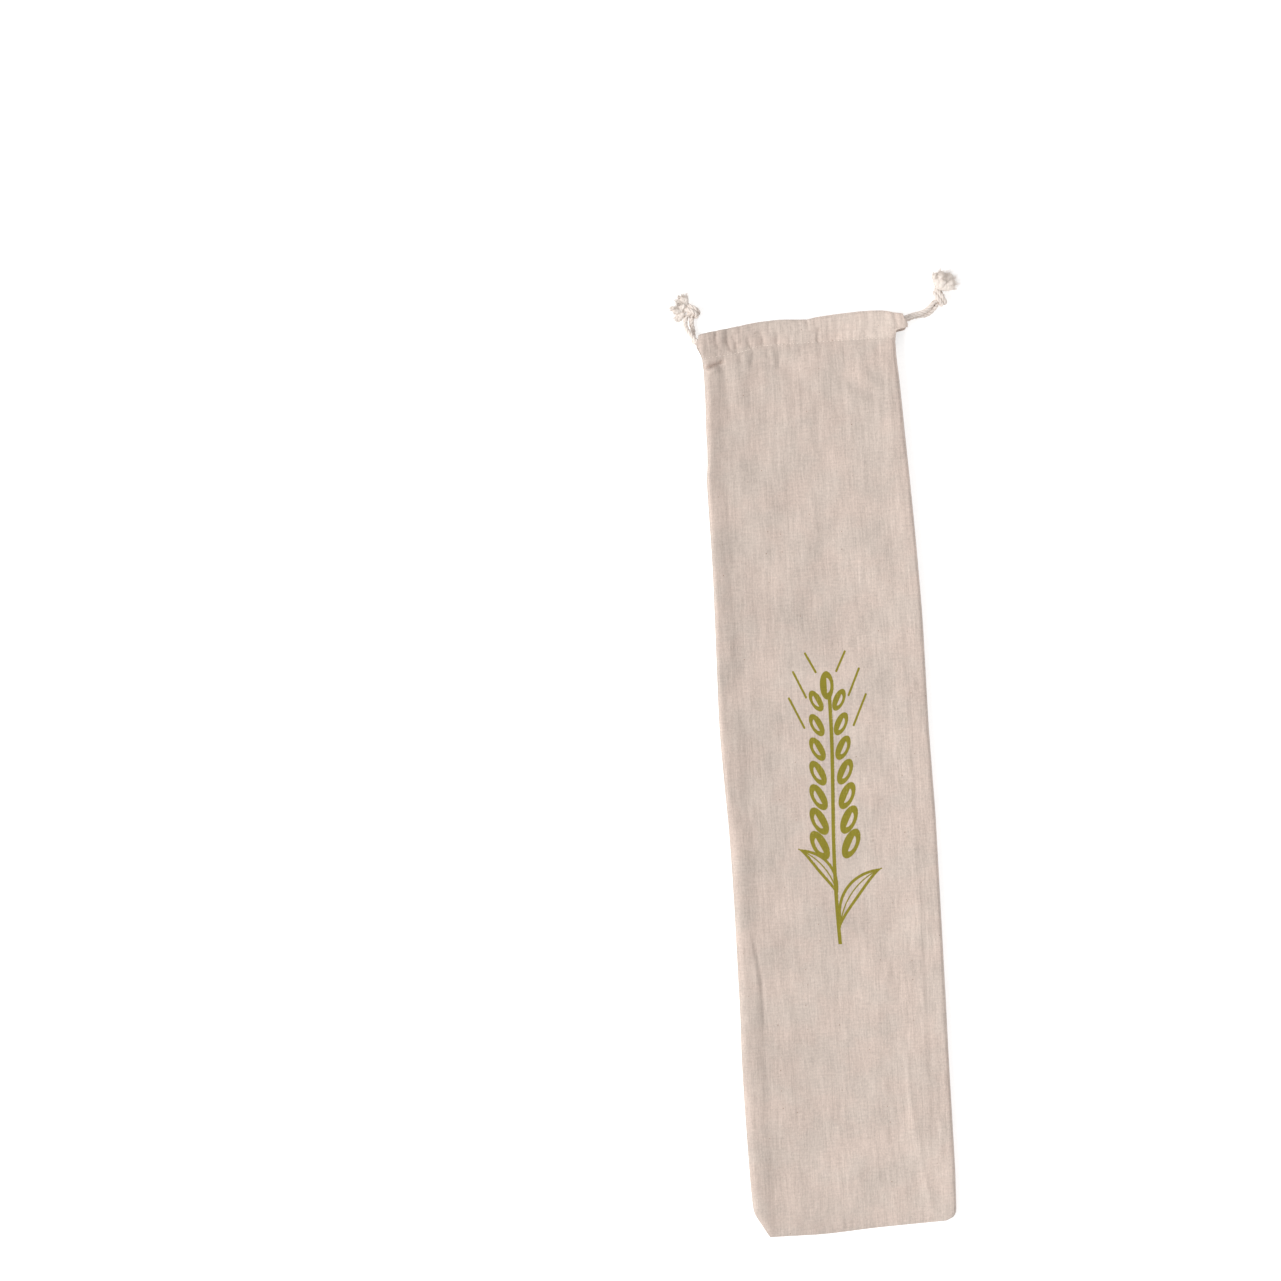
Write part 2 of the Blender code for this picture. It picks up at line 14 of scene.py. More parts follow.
import logging
import math
import random
from abc import ABC, abstractmethod
from collections.abc import Callable, Iterable, Mapping, Sequence
from dataclasses import dataclass, field
from enum import Enum
from typing import Any, NamedTuple

import bpy
import numpy as np
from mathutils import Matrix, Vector, noise

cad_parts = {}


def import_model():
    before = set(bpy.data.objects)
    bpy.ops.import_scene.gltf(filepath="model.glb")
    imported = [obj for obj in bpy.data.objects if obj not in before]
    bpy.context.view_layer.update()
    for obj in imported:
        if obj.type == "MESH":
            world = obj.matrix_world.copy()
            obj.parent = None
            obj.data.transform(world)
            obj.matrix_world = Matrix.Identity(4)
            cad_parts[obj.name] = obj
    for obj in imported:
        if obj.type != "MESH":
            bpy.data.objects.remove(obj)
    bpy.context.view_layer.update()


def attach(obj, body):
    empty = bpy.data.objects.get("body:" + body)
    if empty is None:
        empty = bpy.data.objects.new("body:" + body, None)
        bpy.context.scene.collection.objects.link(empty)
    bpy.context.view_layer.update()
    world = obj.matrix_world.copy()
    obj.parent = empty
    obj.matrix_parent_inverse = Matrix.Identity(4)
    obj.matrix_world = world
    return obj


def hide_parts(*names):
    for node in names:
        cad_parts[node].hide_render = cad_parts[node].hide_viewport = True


MM = 0.001
BODY = "root"
UP = Vector((0.0, 0.0, 1.0))
LOG = logging.getLogger("bread_bag")

Array = np.ndarray
Colour = tuple[float, float, float, float]


# ------------------------------------------------------------
# Node trees
# ------------------------------------------------------------


@dataclass(frozen=True)
class Wire:
    """One output of a node, so that node maths reads as an expression."""

    maker: NodeMaker
    socket: bpy.types.NodeSocket

    def maths(self, operation: str, *values: Wire | float | Sequence[float]) -> Wire:
        """Adds a Math node, or a Vector Math node where this output is a vector.

        Args:
            operation: The node's operation.
            values: What its inputs read, in order.

        Returns:
            The node's output.
        """
        kind = "ShaderNodeVectorMath" if self.socket.type == "VECTOR" else "ShaderNodeMath"
        return self.maker.node(kind, {"operation": operation}, dict(enumerate(values)))

    def __add__(self, other: Wire | float) -> Wire:
        """Sum."""
        return self.maths("ADD", self, other)

    __radd__ = __add__

    def __sub__(self, other: Wire | float) -> Wire:
        """Difference."""
        return self.maths("SUBTRACT", self, other)

    def __rsub__(self, other: float) -> Wire:
        """Difference from a number."""
        return self.maths("SUBTRACT", other, self)

    def __mul__(self, other: Wire | float) -> Wire:
        """Product."""
        return self.maths("MULTIPLY", self, other)

    __rmul__ = __mul__

    def __truediv__(self, other: Wire | float) -> Wire:
        """Quotient."""
        return self.maths("DIVIDE", self, other)

    def __rtruediv__(self, other: float) -> Wire:
        """A number over this value."""
        return self.maths("DIVIDE", other, self)

    def __pow__(self, other: float) -> Wire:
        """Power."""
        return self.maths("POWER", self, other)

    def __abs__(self) -> Wire:
        """Size without sign."""
        return self.maths("ABSOLUTE", self)

    def sin(self) -> Wire:
        """Sine, of radians."""
        return self.maths("SINE", self)

    def cos(self) -> Wire:
        """Cosine, of radians."""
        return self.maths("COSINE", self)

    def root(self) -> Wire:
        """Square root."""
        return self.maths("SQRT", self)

    def floor(self) -> Wire:
        """The whole number below."""
        return self.maths("FLOOR", self)

    def ramp_up(self, low: float, high: float) -> Wire:
        """A soft step from 0 to 1, by plain maths."""
        share = ((self - low) / (high - low)).most(0.0).least(1.0)
        return share * share * (3.0 - 2.0 * share)

    def above(self, limit: Wire | float) -> Wire:
        """1 where the value is above the limit, else 0."""
        return self.maths("GREATER_THAN", self, limit)

    def most(self, other: Wire | float) -> Wire:
        """The larger of two values."""
        return self.maths("MAXIMUM", self, other)

    def least(self, other: Wire | float) -> Wire:
        """The smaller of two values."""
        return self.maths("MINIMUM", self, other)

    def ramp(self, low: float, high: float, start: float = 0.0, end: float = 1.0) -> Wire:
        """A soft step.

        Args:
            low: Value at which the step starts.
            high: Value at which it ends.
            start: What it gives below low.
            end: What it gives above high.

        Returns:
            The stepped value.
        """
        settings = {"interpolation_type": "SMOOTHSTEP"}
        inputs = {"Value": self, "From Min": low, "From Max": high, "To Min": start, "To Max": end}
        return self.maker.node("ShaderNodeMapRange", settings, inputs)

    def scaled(self, factor: Wire | float) -> Wire:
        """A vector or colour times a number."""
        return self.maker.node("ShaderNodeVectorMath", {"operation": "SCALE"}, {0: self, "Scale": factor})


class NodeMaker:
    """Adds nodes to one tree."""

    def __init__(self, tree: bpy.types.NodeTree) -> None:
        """Takes the tree to build in."""
        self.tree = tree

    def node(
        self,
        kind: str,
        settings: Mapping[str, Any] | None = None,
        inputs: Mapping[str | int, Any] | None = None,
        output: str | int = 0,
    ) -> Wire:
        """Adds one node.

        Args:
            kind: The node's type.
            settings: Its properties, set before its sockets are looked up.
            inputs: Values or links, by socket name or number.
            output: Name or number of the output to return.

        Returns:
            That output.
        """
        made = self.tree.nodes.new(kind)
        for key, value in (settings or {}).items():
            setattr(made, key, value)
        for key, value in (inputs or {}).items():
            for socket in self._sockets(made.inputs, key):
                if isinstance(value, Wire):
                    self.tree.links.new(value.socket, socket)
                else:
                    socket.default_value = value
        return Wire(self, self._sockets(made.outputs, output)[0])

    @staticmethod
    def _sockets(sockets: Iterable[bpy.types.NodeSocket], key: str | int) -> list[bpy.types.NodeSocket]:
        """The socket of that number, or the first one in use of that name, in a list of one."""
        if isinstance(key, int):
            return [list(sockets)[key]]
        return [socket for socket in sockets if socket.name == key and socket.enabled][:1]

    def vector(self, x: Wire | float, y: Wire | float, z: Wire | float = 0.0) -> Wire:
        """Three values as one vector."""
        return self.node("ShaderNodeCombineXYZ", inputs={0: x, 1: y, 2: z})

    def parts(self, vector: Wire) -> tuple[Wire, Wire, Wire]:
        """The three values of a vector."""
        first = self.node("ShaderNodeSeparateXYZ", inputs={0: vector})
        return first, *(Wire(self, first.socket.node.outputs[number]) for number in (1, 2))


class Finish(NodeMaker):
    """One material: a Principled surface with what feeds it."""

    def __init__(self, name: str) -> None:
        """Makes the material and clears its tree."""
        self.material = bpy.data.materials.new(name)
        self.material.use_nodes = True
        super().__init__(self.material.node_tree)
        self.tree.nodes.clear()

    def place(self, name: str) -> tuple[Wire, Wire, Wire]:
        """Texture coordinates in millimetres.

        Args:
            name: Object, or the name of a UV map.

        Returns:
            Its three values.
        """
        if name == "Object":
            found = self.node("ShaderNodeTexCoord", output="Object")
        else:
            found = self.node("ShaderNodeUVMap", {"uv_map": name})
        return self.parts(found.scaled(1.0 / MM))

    def measure(self, name: str) -> Wire:
        """The piece's own attribute of that name, as a number."""
        return self.node("ShaderNodeAttribute", {"attribute_name": name}, output="Fac")

    def grain(self, x: Wire | float, y: Wire | float, z: Wire | float = 0.0, detail: float = 2.0) -> Wire:
        """Smooth noise about 0, from about -1 to 1, one feature to a unit.

        Args:
            x: Place across.
            y: Place along.
            z: Third place, or which noise to read.
            detail: How many finer layers it has.

        Returns:
            The noise.
        """
        settings = {"noise_dimensions": "3D", "normalize": False}
        inputs = {"Vector": self.vector(x, y, z), "Scale": 1.0, "Detail": detail, "Roughness": 0.55}
        return self.node("ShaderNodeTexNoise", settings, inputs)

    def blend(self, factor: Wire | float, first: Wire | Colour, second: Wire | Colour) -> Wire:
        """A mix of two colours."""
        inputs = {0: factor, 6: first, 7: second}
        return self.node("ShaderNodeMix", {"data_type": "RGBA"}, inputs, output=2)

    def surface(
        self,
        colour: Wire | Colour,
        roughness: Wire | float,
        height: Wire | None = None,
        depth: float = 0.1,
        fixed: Mapping[str, Any] | None = None,
    ) -> bpy.types.Material:
        """Adds the surface and its output.

        Args:
            colour: Base colour.
            roughness: Roughness.
            height: Bump height, from 0 to 1.
            depth: What a height of 1 stands for, in millimetres.
            fixed: The shader's constant inputs.

        Returns:
            The finished material.
        """
        inputs: dict[str | int, Any] = {"Base Color": colour, "Roughness": roughness, **(fixed or {})}
        if height is not None:
            bump = {"Strength": 1.0, "Distance": depth * MM, "Height": height}
            inputs["Normal"] = self.node("ShaderNodeBump", inputs=bump)
        shader = self.node("ShaderNodeBsdfPrincipled", inputs=inputs)
        end = self.tree.nodes.new("ShaderNodeOutputMaterial")
        self.tree.links.new(shader.socket, end.inputs["Surface"])
        return self.material


class ShapeTree(NodeMaker):
    """One Geometry Nodes tree, with its sizes as named inputs."""

    def __init__(self, name: str) -> None:
        """Makes the tree with a geometry in and a geometry out."""
        super().__init__(bpy.data.node_groups.new(name, "GeometryNodeTree"))
        face = self.tree.interface
        face.new_socket("Geometry", in_out="INPUT", socket_type="NodeSocketGeometry")
        face.new_socket("Geometry", in_out="OUTPUT", socket_type="NodeSocketGeometry")
        self.entry = self.tree.nodes.new("NodeGroupInput")
        self.end = self.tree.nodes.new("NodeGroupOutput")

    @property
    def host(self) -> Wire:
        """The geometry that the tree starts from."""
        return Wire(self, self.entry.outputs[0])

    def size(self, name: str, kind: str = "NodeSocketFloat") -> Wire:
        """Adds a named input.

        Args:
            name: Its name.
            kind: Its socket type.

        Returns:
            The value that the tree reads.
        """
        self.tree.interface.new_socket(name, in_out="INPUT", socket_type=kind)
        return Wire(self, next(s for s in self.entry.outputs if s.name == name))

    def line(self) -> Wire:
        """The host's edges as curves."""
        return self.node("GeometryNodeMeshToCurve", inputs={"Mesh": self.host})

    def ring(self, sides: int, radius: Wire | float) -> Wire:
        """A circle, to be drawn along a curve."""
        return self.node("GeometryNodeCurvePrimitiveCircle", inputs={"Resolution": sides, "Radius": radius})

    def tube(self, curve: Wire, ring: Wire, scale: Wire | float = 1.0) -> Wire:
        """Draws a ring along a curve and closes both ends.

        Args:
            curve: Centre line.
            ring: The tube's section.
            scale: How large the section is along the curve.

        Returns:
            The tube.
        """
        inputs = {"Curve": curve, "Profile Curve": ring, "Scale": scale, "Fill Caps": True}
        return self.node("GeometryNodeCurveToMesh", inputs=inputs)

    def close(self, shape: Wire) -> None:
        """Ends the tree in real geometry with its material."""
        real = self.node("GeometryNodeRealizeInstances", inputs={"Geometry": shape})
        smooth = self.node("GeometryNodeSetShadeSmooth", inputs={"Geometry": real})
        look = {"Geometry": smooth, "Material": self.size("Material", "NodeSocketMaterial")}
        dressed = self.node("GeometryNodeSetMaterial", inputs=look)
        self.tree.links.new(dressed.socket, self.end.inputs[0])

    def grow(self, name: str, host: bpy.types.Object, values: Mapping[str, Any]) -> bpy.types.Object:
        """Runs the tree on a host and keeps the result as a plain mesh.

        Args:
            name: Name of the new piece.
            host: Mesh that the tree starts from; it is used up.
            values: The tree's inputs, by name.

        Returns:
            The new piece.
        """
        modifier = host.modifiers.new(name, "NODES")
        modifier.node_group = self.tree
        for item in self.tree.interface.items_tree:
            if item.item_type == "SOCKET" and item.in_out == "INPUT" and item.name in values:
                modifier[item.identifier] = values[item.name]
        graph = bpy.context.evaluated_depsgraph_get()
        mesh = bpy.data.meshes.new_from_object(host.evaluated_get(graph), depsgraph=graph)
        host.modifiers.remove(modifier)
        bpy.data.objects.remove(host)
        mesh.name = name
        return in_scene(name, mesh)


def in_scene(name: str, data: bpy.types.ID) -> bpy.types.Object:
    """A new object in the scene.

    Args:
        name: Its name.
        data: Its mesh, camera or light.

    Returns:
        The object.
    """
    thing = bpy.data.objects.new(name, data)
    bpy.context.scene.collection.objects.link(thing)
    return thing


def polyline(name: str, runs: Iterable[Sequence[Sequence[float]]]) -> bpy.types.Object:
    """A mesh of open runs of edges.

    Args:
        name: Name of the object.
        runs: Points of each run, in millimetres.

    Returns:
        The object, ready to host a tree.
    """
    points: list[tuple[float, float, float]] = []
    edges: list[tuple[int, int]] = []
    for run in runs:
        first = len(points)
        points += [(p[0] * MM, p[1] * MM, p[2] * MM) for p in run]
        edges += [(number, number + 1) for number in range(first, len(points) - 1)]
    mesh = bpy.data.meshes.new(name)
    mesh.from_pydata(points, edges, [])
    return in_scene(name, mesh)


# ------------------------------------------------------------
# Finishes
# ------------------------------------------------------------


class Beard(NamedTuple):
    """A straight bristle on the right of the ear, from its root to its tip; its twin is on the left."""

    x0: float
    y0: float
    x1: float
    y1: float


class Leaf(NamedTuple):
    """A long leaf along an arc, widest halfway."""

    centre_x: float
    centre_y: float
    radius: float
    start_deg: float
    end_deg: float
    half_width: float


@dataclass(frozen=True)
class WheatMotif:
    """A printed ear of wheat: paired grains up a stem, a few beards, and two long leaves."""

    centre: tuple[float, float] = (3.5, -17.3)
    stroke: float = 2.7
    edge: float = 0.16
    stem: tuple[float, float] = (-107.0, 76.0)
    ear_start: float = -34.0
    row_pitch: float = 17.5
    row_count: int = 7
    grain_length: float = 11.6
    grain_width: float = 5.6
    grain_lean_deg: float = 26.0
    grain_aside: float = 11.4
    tip_shrink: float = 0.045
    tip_grain: float = 0.9
    tip_gap: float = 6.0
    sway: float = 1.6
    sway_run: float = 38.0
    beard_share: float = 0.3
    outline_share: float = 0.4
    rib_share: float = 0.18
    beards: tuple[Beard, ...] = (
        Beard(7.5, 92.0, 14.5, 106.0),
        Beard(15.5, 74.0, 24.0, 93.0),
        Beard(18.0, 52.0, 28.0, 74.0),
    )
    leaves: tuple[Leaf, ...] = (
        Leaf(50.0, -100.0, 50.0, 110.0, 174.0, 6.0),
        Leaf(-46.0, -78.0, 46.0, 8.0, 66.0, 5.4),
    )

    def mask(self, finish: Finish, x: Wire, y: Wire) -> Wire:
        """Where the ink lies.

        Args:
            finish: The material it is printed in; not used.
            x: Place across, in millimetres.
            y: Place along, in millimetres.

        Returns:
            1 on ink and 0 on bare cloth.
        """
        x, y = x - self.centre[0], y - self.centre[1]
        aside = abs(x)
        ink = self._inked(abs(x - self.sway * (y / self.sway_run).sin()) - 0.5 * self.stroke)
        ink = ink * y.ramp(self.stem[0], self.stem[0] + 2.0 * self.edge)
        ink = ink * y.ramp(self.stem[1], self.stem[1] + 2.0 * self.edge, 1.0, 0.0)
        for parity in (0, 1):
            ink = ink.most(self._grains(aside, y, parity))
        ink = ink.most(self._grain(x, y - self.stem[1] - self.tip_gap, 0.0, self.tip_grain))
        for beard in self.beards:
            for side in (1.0, -1.0):
                off = self._from_line(x, y, Beard(side * beard.x0, beard.y0, side * beard.x1, beard.y1))
                ink = ink.most(self._inked(off - self.beard_share * self.stroke))
        for leaf in self.leaves:
            ink = ink.most(self._leaf(x, y, leaf))
        return ink

    def _inked(self, outside: Wire) -> Wire:
        """1 where a distance is inside, with a soft edge."""
        return outside.ramp(-self.edge, self.edge, 1.0, 0.0)

    def _grain(self, x: Wire, y: Wire, lean: float, scale: Wire | float) -> Wire:
        """An outlined grain whose one half is filled.

        Args:
            x: Place across from the grain's middle.
            y: Place along from there.
            lean: Turn of the grain, in radians.
            scale: Size against a whole grain.

        Returns:
            The grain as a mask.
        """
        turned_x = x * math.cos(lean) - y * math.sin(lean)
        turned_y = x * math.sin(lean) + y * math.cos(lean)
        width, length = self.grain_width * scale, self.grain_length * scale
        sized = turned_x / width
        tall = turned_y / length
        distance = ((sized * sized + tall * tall).root() - 1.0) * self.grain_width
        ring = self._inked(abs(distance + 0.5 * self.stroke) - 0.5 * self.stroke)
        filled = self._inked(distance) * turned_x.ramp(-self.edge, self.edge, 1.0, 0.0)
        return ring.most(filled)

    def _grains(self, aside: Wire, y: Wire, parity: int) -> Wire:
        """Every second pair of grains, by folding the ear onto one cell.

        Args:
            aside: Distance from the stem.
            y: Place along.
            parity: 0 for even pairs, 1 for odd ones.

        Returns:
            The grains as a mask.
        """
        pitch = 2.0 * self.row_pitch
        cell = (y - self.ear_start - self.row_pitch * parity) / pitch + 0.5
        row = cell.floor()
        local = (cell - row - 0.5) * pitch
        scale = 1.0 - self.tip_shrink * (2.0 * row + float(parity))
        shown = row.above(-0.5) * (1.0 - row.above((self.row_count - 1 - parity) // 2 + 0.5))
        leaning = math.radians(self.grain_lean_deg)
        return self._grain(aside - self.grain_aside * scale, local, leaning, scale) * shown

    def _from_line(self, x: Wire, y: Wire, line: Beard) -> Wire:
        """Distance from a straight line between two points.

        Args:
            x: Place across.
            y: Place along.
            line: The line's two ends.

        Returns:
            The distance.
        """
        run_x, run_y = line.x1 - line.x0, line.y1 - line.y0
        square = run_x * run_x + run_y * run_y
        off_x, off_y = x - line.x0, y - line.y0
        along = (off_x * (run_x / square) + off_y * (run_y / square)).most(0.0).least(1.0)
        off_x, off_y = off_x - along * run_x, off_y - along * run_y
        return (off_x * off_x + off_y * off_y).root()

    def _leaf(self, x: Wire, y: Wire, leaf: Leaf) -> Wire:
        """A leaf, outlined, with a rib down its middle.

        Args:
            x: Place across.
            y: Place along.
            leaf: The leaf.

        Returns:
            The leaf as a mask.
        """
        off_x, off_y = x - leaf.centre_x, y - leaf.centre_y
        radial = (off_x * off_x + off_y * off_y).root() - leaf.radius
        angle = off_y.maths("ARCTAN2", off_y, off_x) * (180.0 / math.pi)
        share = (angle - leaf.start_deg) / (leaf.end_deg - leaf.start_deg)
        clipped = share.most(0.0).least(1.0)
        half = (clipped * math.pi).sin() * leaf.half_width
        inside = share.above(0.0) * (1.0 - share.above(1.0))
        outline = self.outline_share * self.stroke
        edge = abs(abs(radial) - half + outline) - outline
        rib = abs(radial) - self.rib_share * self.stroke
        return self._inked(edge.least(rib)) * inside


class Texture(NamedTuple):
    """Noise on the cloth: a feature's size across and along, which noise it reads, and its detail."""

    across: float
    along: float
    seed: float = 0.0
    detail: float = 2.0

    def on(self, finish: Finish, across: Wire, along: Wire) -> Wire:
        """The noise at a place on the cloth."""
        return finish.grain(across / self.across, along / self.along, self.seed, self.detail)


@dataclass(frozen=True)
class LinenFinish:
    """Plain woven natural linen and cotton: uneven yarns, soft streaks and a few dark flecks, with painted
    light: darker to the left, lighter to the right, and a lighter casing.
    """

    name: str
    warm: Colour = (0.552, 0.452, 0.396, 1.0)
    cool: Colour = (0.528, 0.447, 0.394, 1.0)
    fleck: Colour = (0.22, 0.12, 0.08, 1.0)
    ink: Colour = (0.231, 0.195, 0.009, 1.0)
    warp_pitch: float = 0.62
    weft_pitch: float = 0.70
    wander: float = 0.5
    warp_contrast: float = 0.17
    weft_contrast: float = 0.08
    warp_run: float = 17.0
    weft_run: float = 9.0
    yarn_share: float = 0.60
    under_share: float = 0.35
    crossing_edge: float = 0.35
    roundness: float = 0.55
    raised_mean: float = 0.65
    raised_contrast: float = 0.10
    streak_contrast: float = 0.075
    slub_contrast: float = 0.12
    cloud_contrast: float = 0.10
    weave_depth: float = 0.14
    # Painted light: drift paints the cloth darker to the left and lighter to the right, a painted falloff of
    # the light across the bag, over the reach given below.
    drift: float = 0.06
    painted_falloff_reach: float = 60.0
    # Painted light: from where the casing starts, the casing is painted lighter than the body below it, and
    # lighter still towards the right.
    casing_starts: float = 313.4
    casing_blend: float = 2.0
    casing_painted_light: float = 0.078
    casing_painted_falloff: float = 0.085
    yarn_drift: Texture = Texture(24.0, 24.0, detail=1.0)
    slubs: Texture = Texture(1.1, 1.9, 29.0)
    streaks: Texture = Texture(3.4, 40.0, 17.0)
    clouds: Texture = Texture(26.0, 44.0, 5.0, 3.0)
    tints: Texture = Texture(30.0, 26.0, 41.0, 4.0)
    fleck_size: tuple[float, float] = (11.0, 15.0)
    fleck_chance: float = 0.22
    fleck_cover: float = 0.8
    ink_cover: float = 0.98
    ink_worn: float = 0.30
    motif: WheatMotif | None = None

    def material(self) -> bpy.types.Material:
        """Builds the material."""
        finish = Finish(self.name)
        across, along, _ = finish.place("cloth")
        drift = self.yarn_drift.on(finish, across, along)
        u = across + drift * self.wander
        v = along + drift * self.wander
        warp, weft = u / self.warp_pitch, v / self.weft_pitch
        crossing = (warp * math.pi).sin() * (weft * math.pi).sin()
        warp_on_top = crossing.ramp(-self.crossing_edge, self.crossing_edge)
        warp_yarn = finish.grain(warp * self.yarn_share, v / self.warp_run, 3.0) * self.warp_contrast
        weft_yarn = finish.grain(u / self.weft_run, weft * self.yarn_share, 9.0) * self.weft_contrast
        warp_shows = self.under_share + (1.0 - self.under_share) * warp_on_top
        yarn = warp_yarn * warp_shows + weft_yarn * (1.0 + self.under_share - warp_on_top)
        slub = self.slubs.on(finish, u, v) * self.slub_contrast
        streak = self.streaks.on(finish, u, v)
        cloud = self.clouds.on(finish, u, v)
        tint = self.tints.on(finish, u, v)
        raised = abs(crossing) ** self.roundness
        bright = 1.0 + yarn + slub + self.streak_contrast * streak
        bright = bright + self.cloud_contrast * cloud + self.raised_contrast * (raised - self.raised_mean)
        x, y, _ = finish.place("Object")
        # Painted light: the place across the bag, which paints the left darker and the right lighter, and the
        # casing lighter still at the right.
        aside = (x / self.painted_falloff_reach).most(-1.0).least(1.0)
        # Painted light: the casing painted lighter than the body below it, more so at the right.
        over_casing = along.ramp_up(self.casing_starts, self.casing_starts + self.casing_blend)
        casing_painted_gain = over_casing * (self.casing_painted_light + self.casing_painted_falloff * aside)
        bright = bright * (1.0 + self.drift * aside + casing_painted_gain)
        colour = finish.blend((0.5 + 0.9 * tint).ramp(0.0, 1.0), self.cool, self.warm).scaled(bright)
        colour = finish.blend(self._flecks(finish, u, v), colour, self.fleck)
        roughness = 0.93 - 0.05 * raised
        if self.motif is not None:
            feather = 0.6 * yarn + 0.8 * slub
            ink = self.motif.mask(finish, x + feather, y + feather)
            bare = (yarn + slub).ramp(0.10, 0.26)
            lit = 0.98 + 0.9 * yarn + 0.7 * slub + 2.0 * self.raised_contrast * (raised - self.raised_mean)
            inked = finish.vector(*self.ink[:3]).scaled(lit)
            colour = finish.blend(ink * (self.ink_cover - self.ink_worn * bare), colour, inked)
            roughness = roughness - 0.10 * ink
        height = raised * 0.75 + 1.6 * yarn + 1.2 * slub + 0.15
        fixed = {"Sheen Weight": 0.12, "Sheen Roughness": 0.5, "Specular IOR Level": 0.25}
        return finish.surface(colour, roughness, height, self.weave_depth, fixed)

    def _flecks(self, finish: Finish, u: Wire, v: Wire) -> Wire:
        """Scattered bits of husk, as a mask.

        Args:
            finish: The material.
            u: Place across the cloth.
            v: Place along it.

        Returns:
            The mask.
        """
        settings = {"voronoi_dimensions": "2D"}
        place = finish.vector(u / self.fleck_size[0], v / self.fleck_size[1])
        inputs = {"Vector": place, "Scale": 1.0, "Randomness": 1.0}
        near = finish.node("ShaderNodeTexVoronoi", settings, inputs, output="Distance")
        colours = Wire(finish, near.socket.node.outputs["Color"])
        chosen, size, _ = finish.parts(colours)
        reach = 0.012 + 0.030 * size
        chosen = chosen.above(1.0 - self.fleck_chance)
        return (1.0 - (near / reach).ramp(0.5, 1.0)) * chosen * self.fleck_cover


@dataclass(frozen=True)
class CottonFinish:
    """Soft spun cotton, its fibres running slantwise along each ply."""

    name: str
    pale: Colour = (0.765, 0.69, 0.635, 1.0)
    deep: Colour = (0.60, 0.515, 0.455, 1.0)
    sheen: float = 0.15
    fibre_depth: float = 0.14
    fibre_slant: float = 0.9
    fibre_count: float = 2.4
    fibre_run: float = 0.22
    patch_size: float = 3.0

    def material(self) -> bpy.types.Material:
        """Builds the material."""
        finish = Finish(self.name)
        along = finish.measure("along") / MM
        around = finish.measure("around")
        turn = around * math.tau + along * self.fibre_slant
        aside, up = turn.sin() * self.fibre_count, turn.cos() * self.fibre_count
        fibre = finish.grain(aside, up, along * self.fibre_run, detail=3.0)
        patch = finish.grain(*(value / self.patch_size for value in finish.place("Object")), detail=2.0)
        shade = (0.30 + 0.55 * fibre + 0.35 * patch).ramp(0.0, 1.0)
        colour = finish.blend(shade * 0.55, self.pale, self.deep)
        fixed = {"Sheen Weight": self.sheen, "Sheen Roughness": 0.4, "Specular IOR Level": 0.2}
        return finish.surface(colour, 0.90 - 0.05 * shade, 0.5 + 0.5 * fibre, self.fibre_depth, fixed)


CORD = CottonFinish("cotton_cord")
FLUFF = CottonFinish("cotton_fluff", pale=(0.75, 0.677, 0.62, 1.0), deep=(0.71, 0.64, 0.585, 1.0), sheen=0.2)
THREAD = CottonFinish("sewing_thread", pale=(0.86, 0.78, 0.70, 1.0), deep=(0.78, 0.69, 0.61, 1.0))


@dataclass(frozen=True)
class TableFinish:
    """Milky white table top, lit faintly from below, so that hardly a shadow shows on it."""

    name: str = "table_white"
    tone: float = 0.72
    glow: float = 0.5

    def material(self) -> bpy.types.Material:
        """Builds the material."""
        finish = Finish(self.name)
        x, y, _ = finish.place("Object")
        tone = self.tone + 0.004 * finish.grain(x / 90.0, y / 90.0)
        colour = finish.vector(tone, tone, tone)
        white = (1.0, 1.0, 1.0, 1.0)
        fixed = {"Specular IOR Level": 0.1, "Emission Color": white, "Emission Strength": self.glow}
        return finish.surface(colour, 0.9, fixed=fixed)


# ------------------------------------------------------------
# The bag's outlines
# ------------------------------------------------------------


class SideStation(NamedTuple):
    """Left and right edge of the bag at one height along it."""

    y: float
    left: float
    right: float


class EndStation(NamedTuple):
    """Left and right end of the casing, at a share of the way from the stitches to the mouth."""

    share: float
    left: float
    right: float


class MouthStation(NamedTuple):
    """Stitch line and mouth edge at one place across the bag."""

    x: float
    stitch: float
    mouth: float


class BottomStation(NamedTuple):
    """Bottom edge at one place across the bag."""

    x: float
    y: float


class CrownStation(NamedTuple):
    """Height of the front panel along the middle of the bag."""

    y: float
    height: float


def listed(kind: Callable[..., Any], rows: Iterable[Sequence[float]]) -> tuple[Any, ...]:
    """Gives the rows of a table their names.

    Args:
        kind: Class of the rows.
        rows: Plain numbers, in the order of the class's columns.

    Returns:
        The table.
    """
    return tuple(kind(*row) for row in rows)


def smooth(value: Array | float) -> Array:
    """A soft step from 0 at 0 to 1 at 1."""
    share = np.clip(value, 0.0, 1.0)
    return share * share * (3.0 - 2.0 * share)


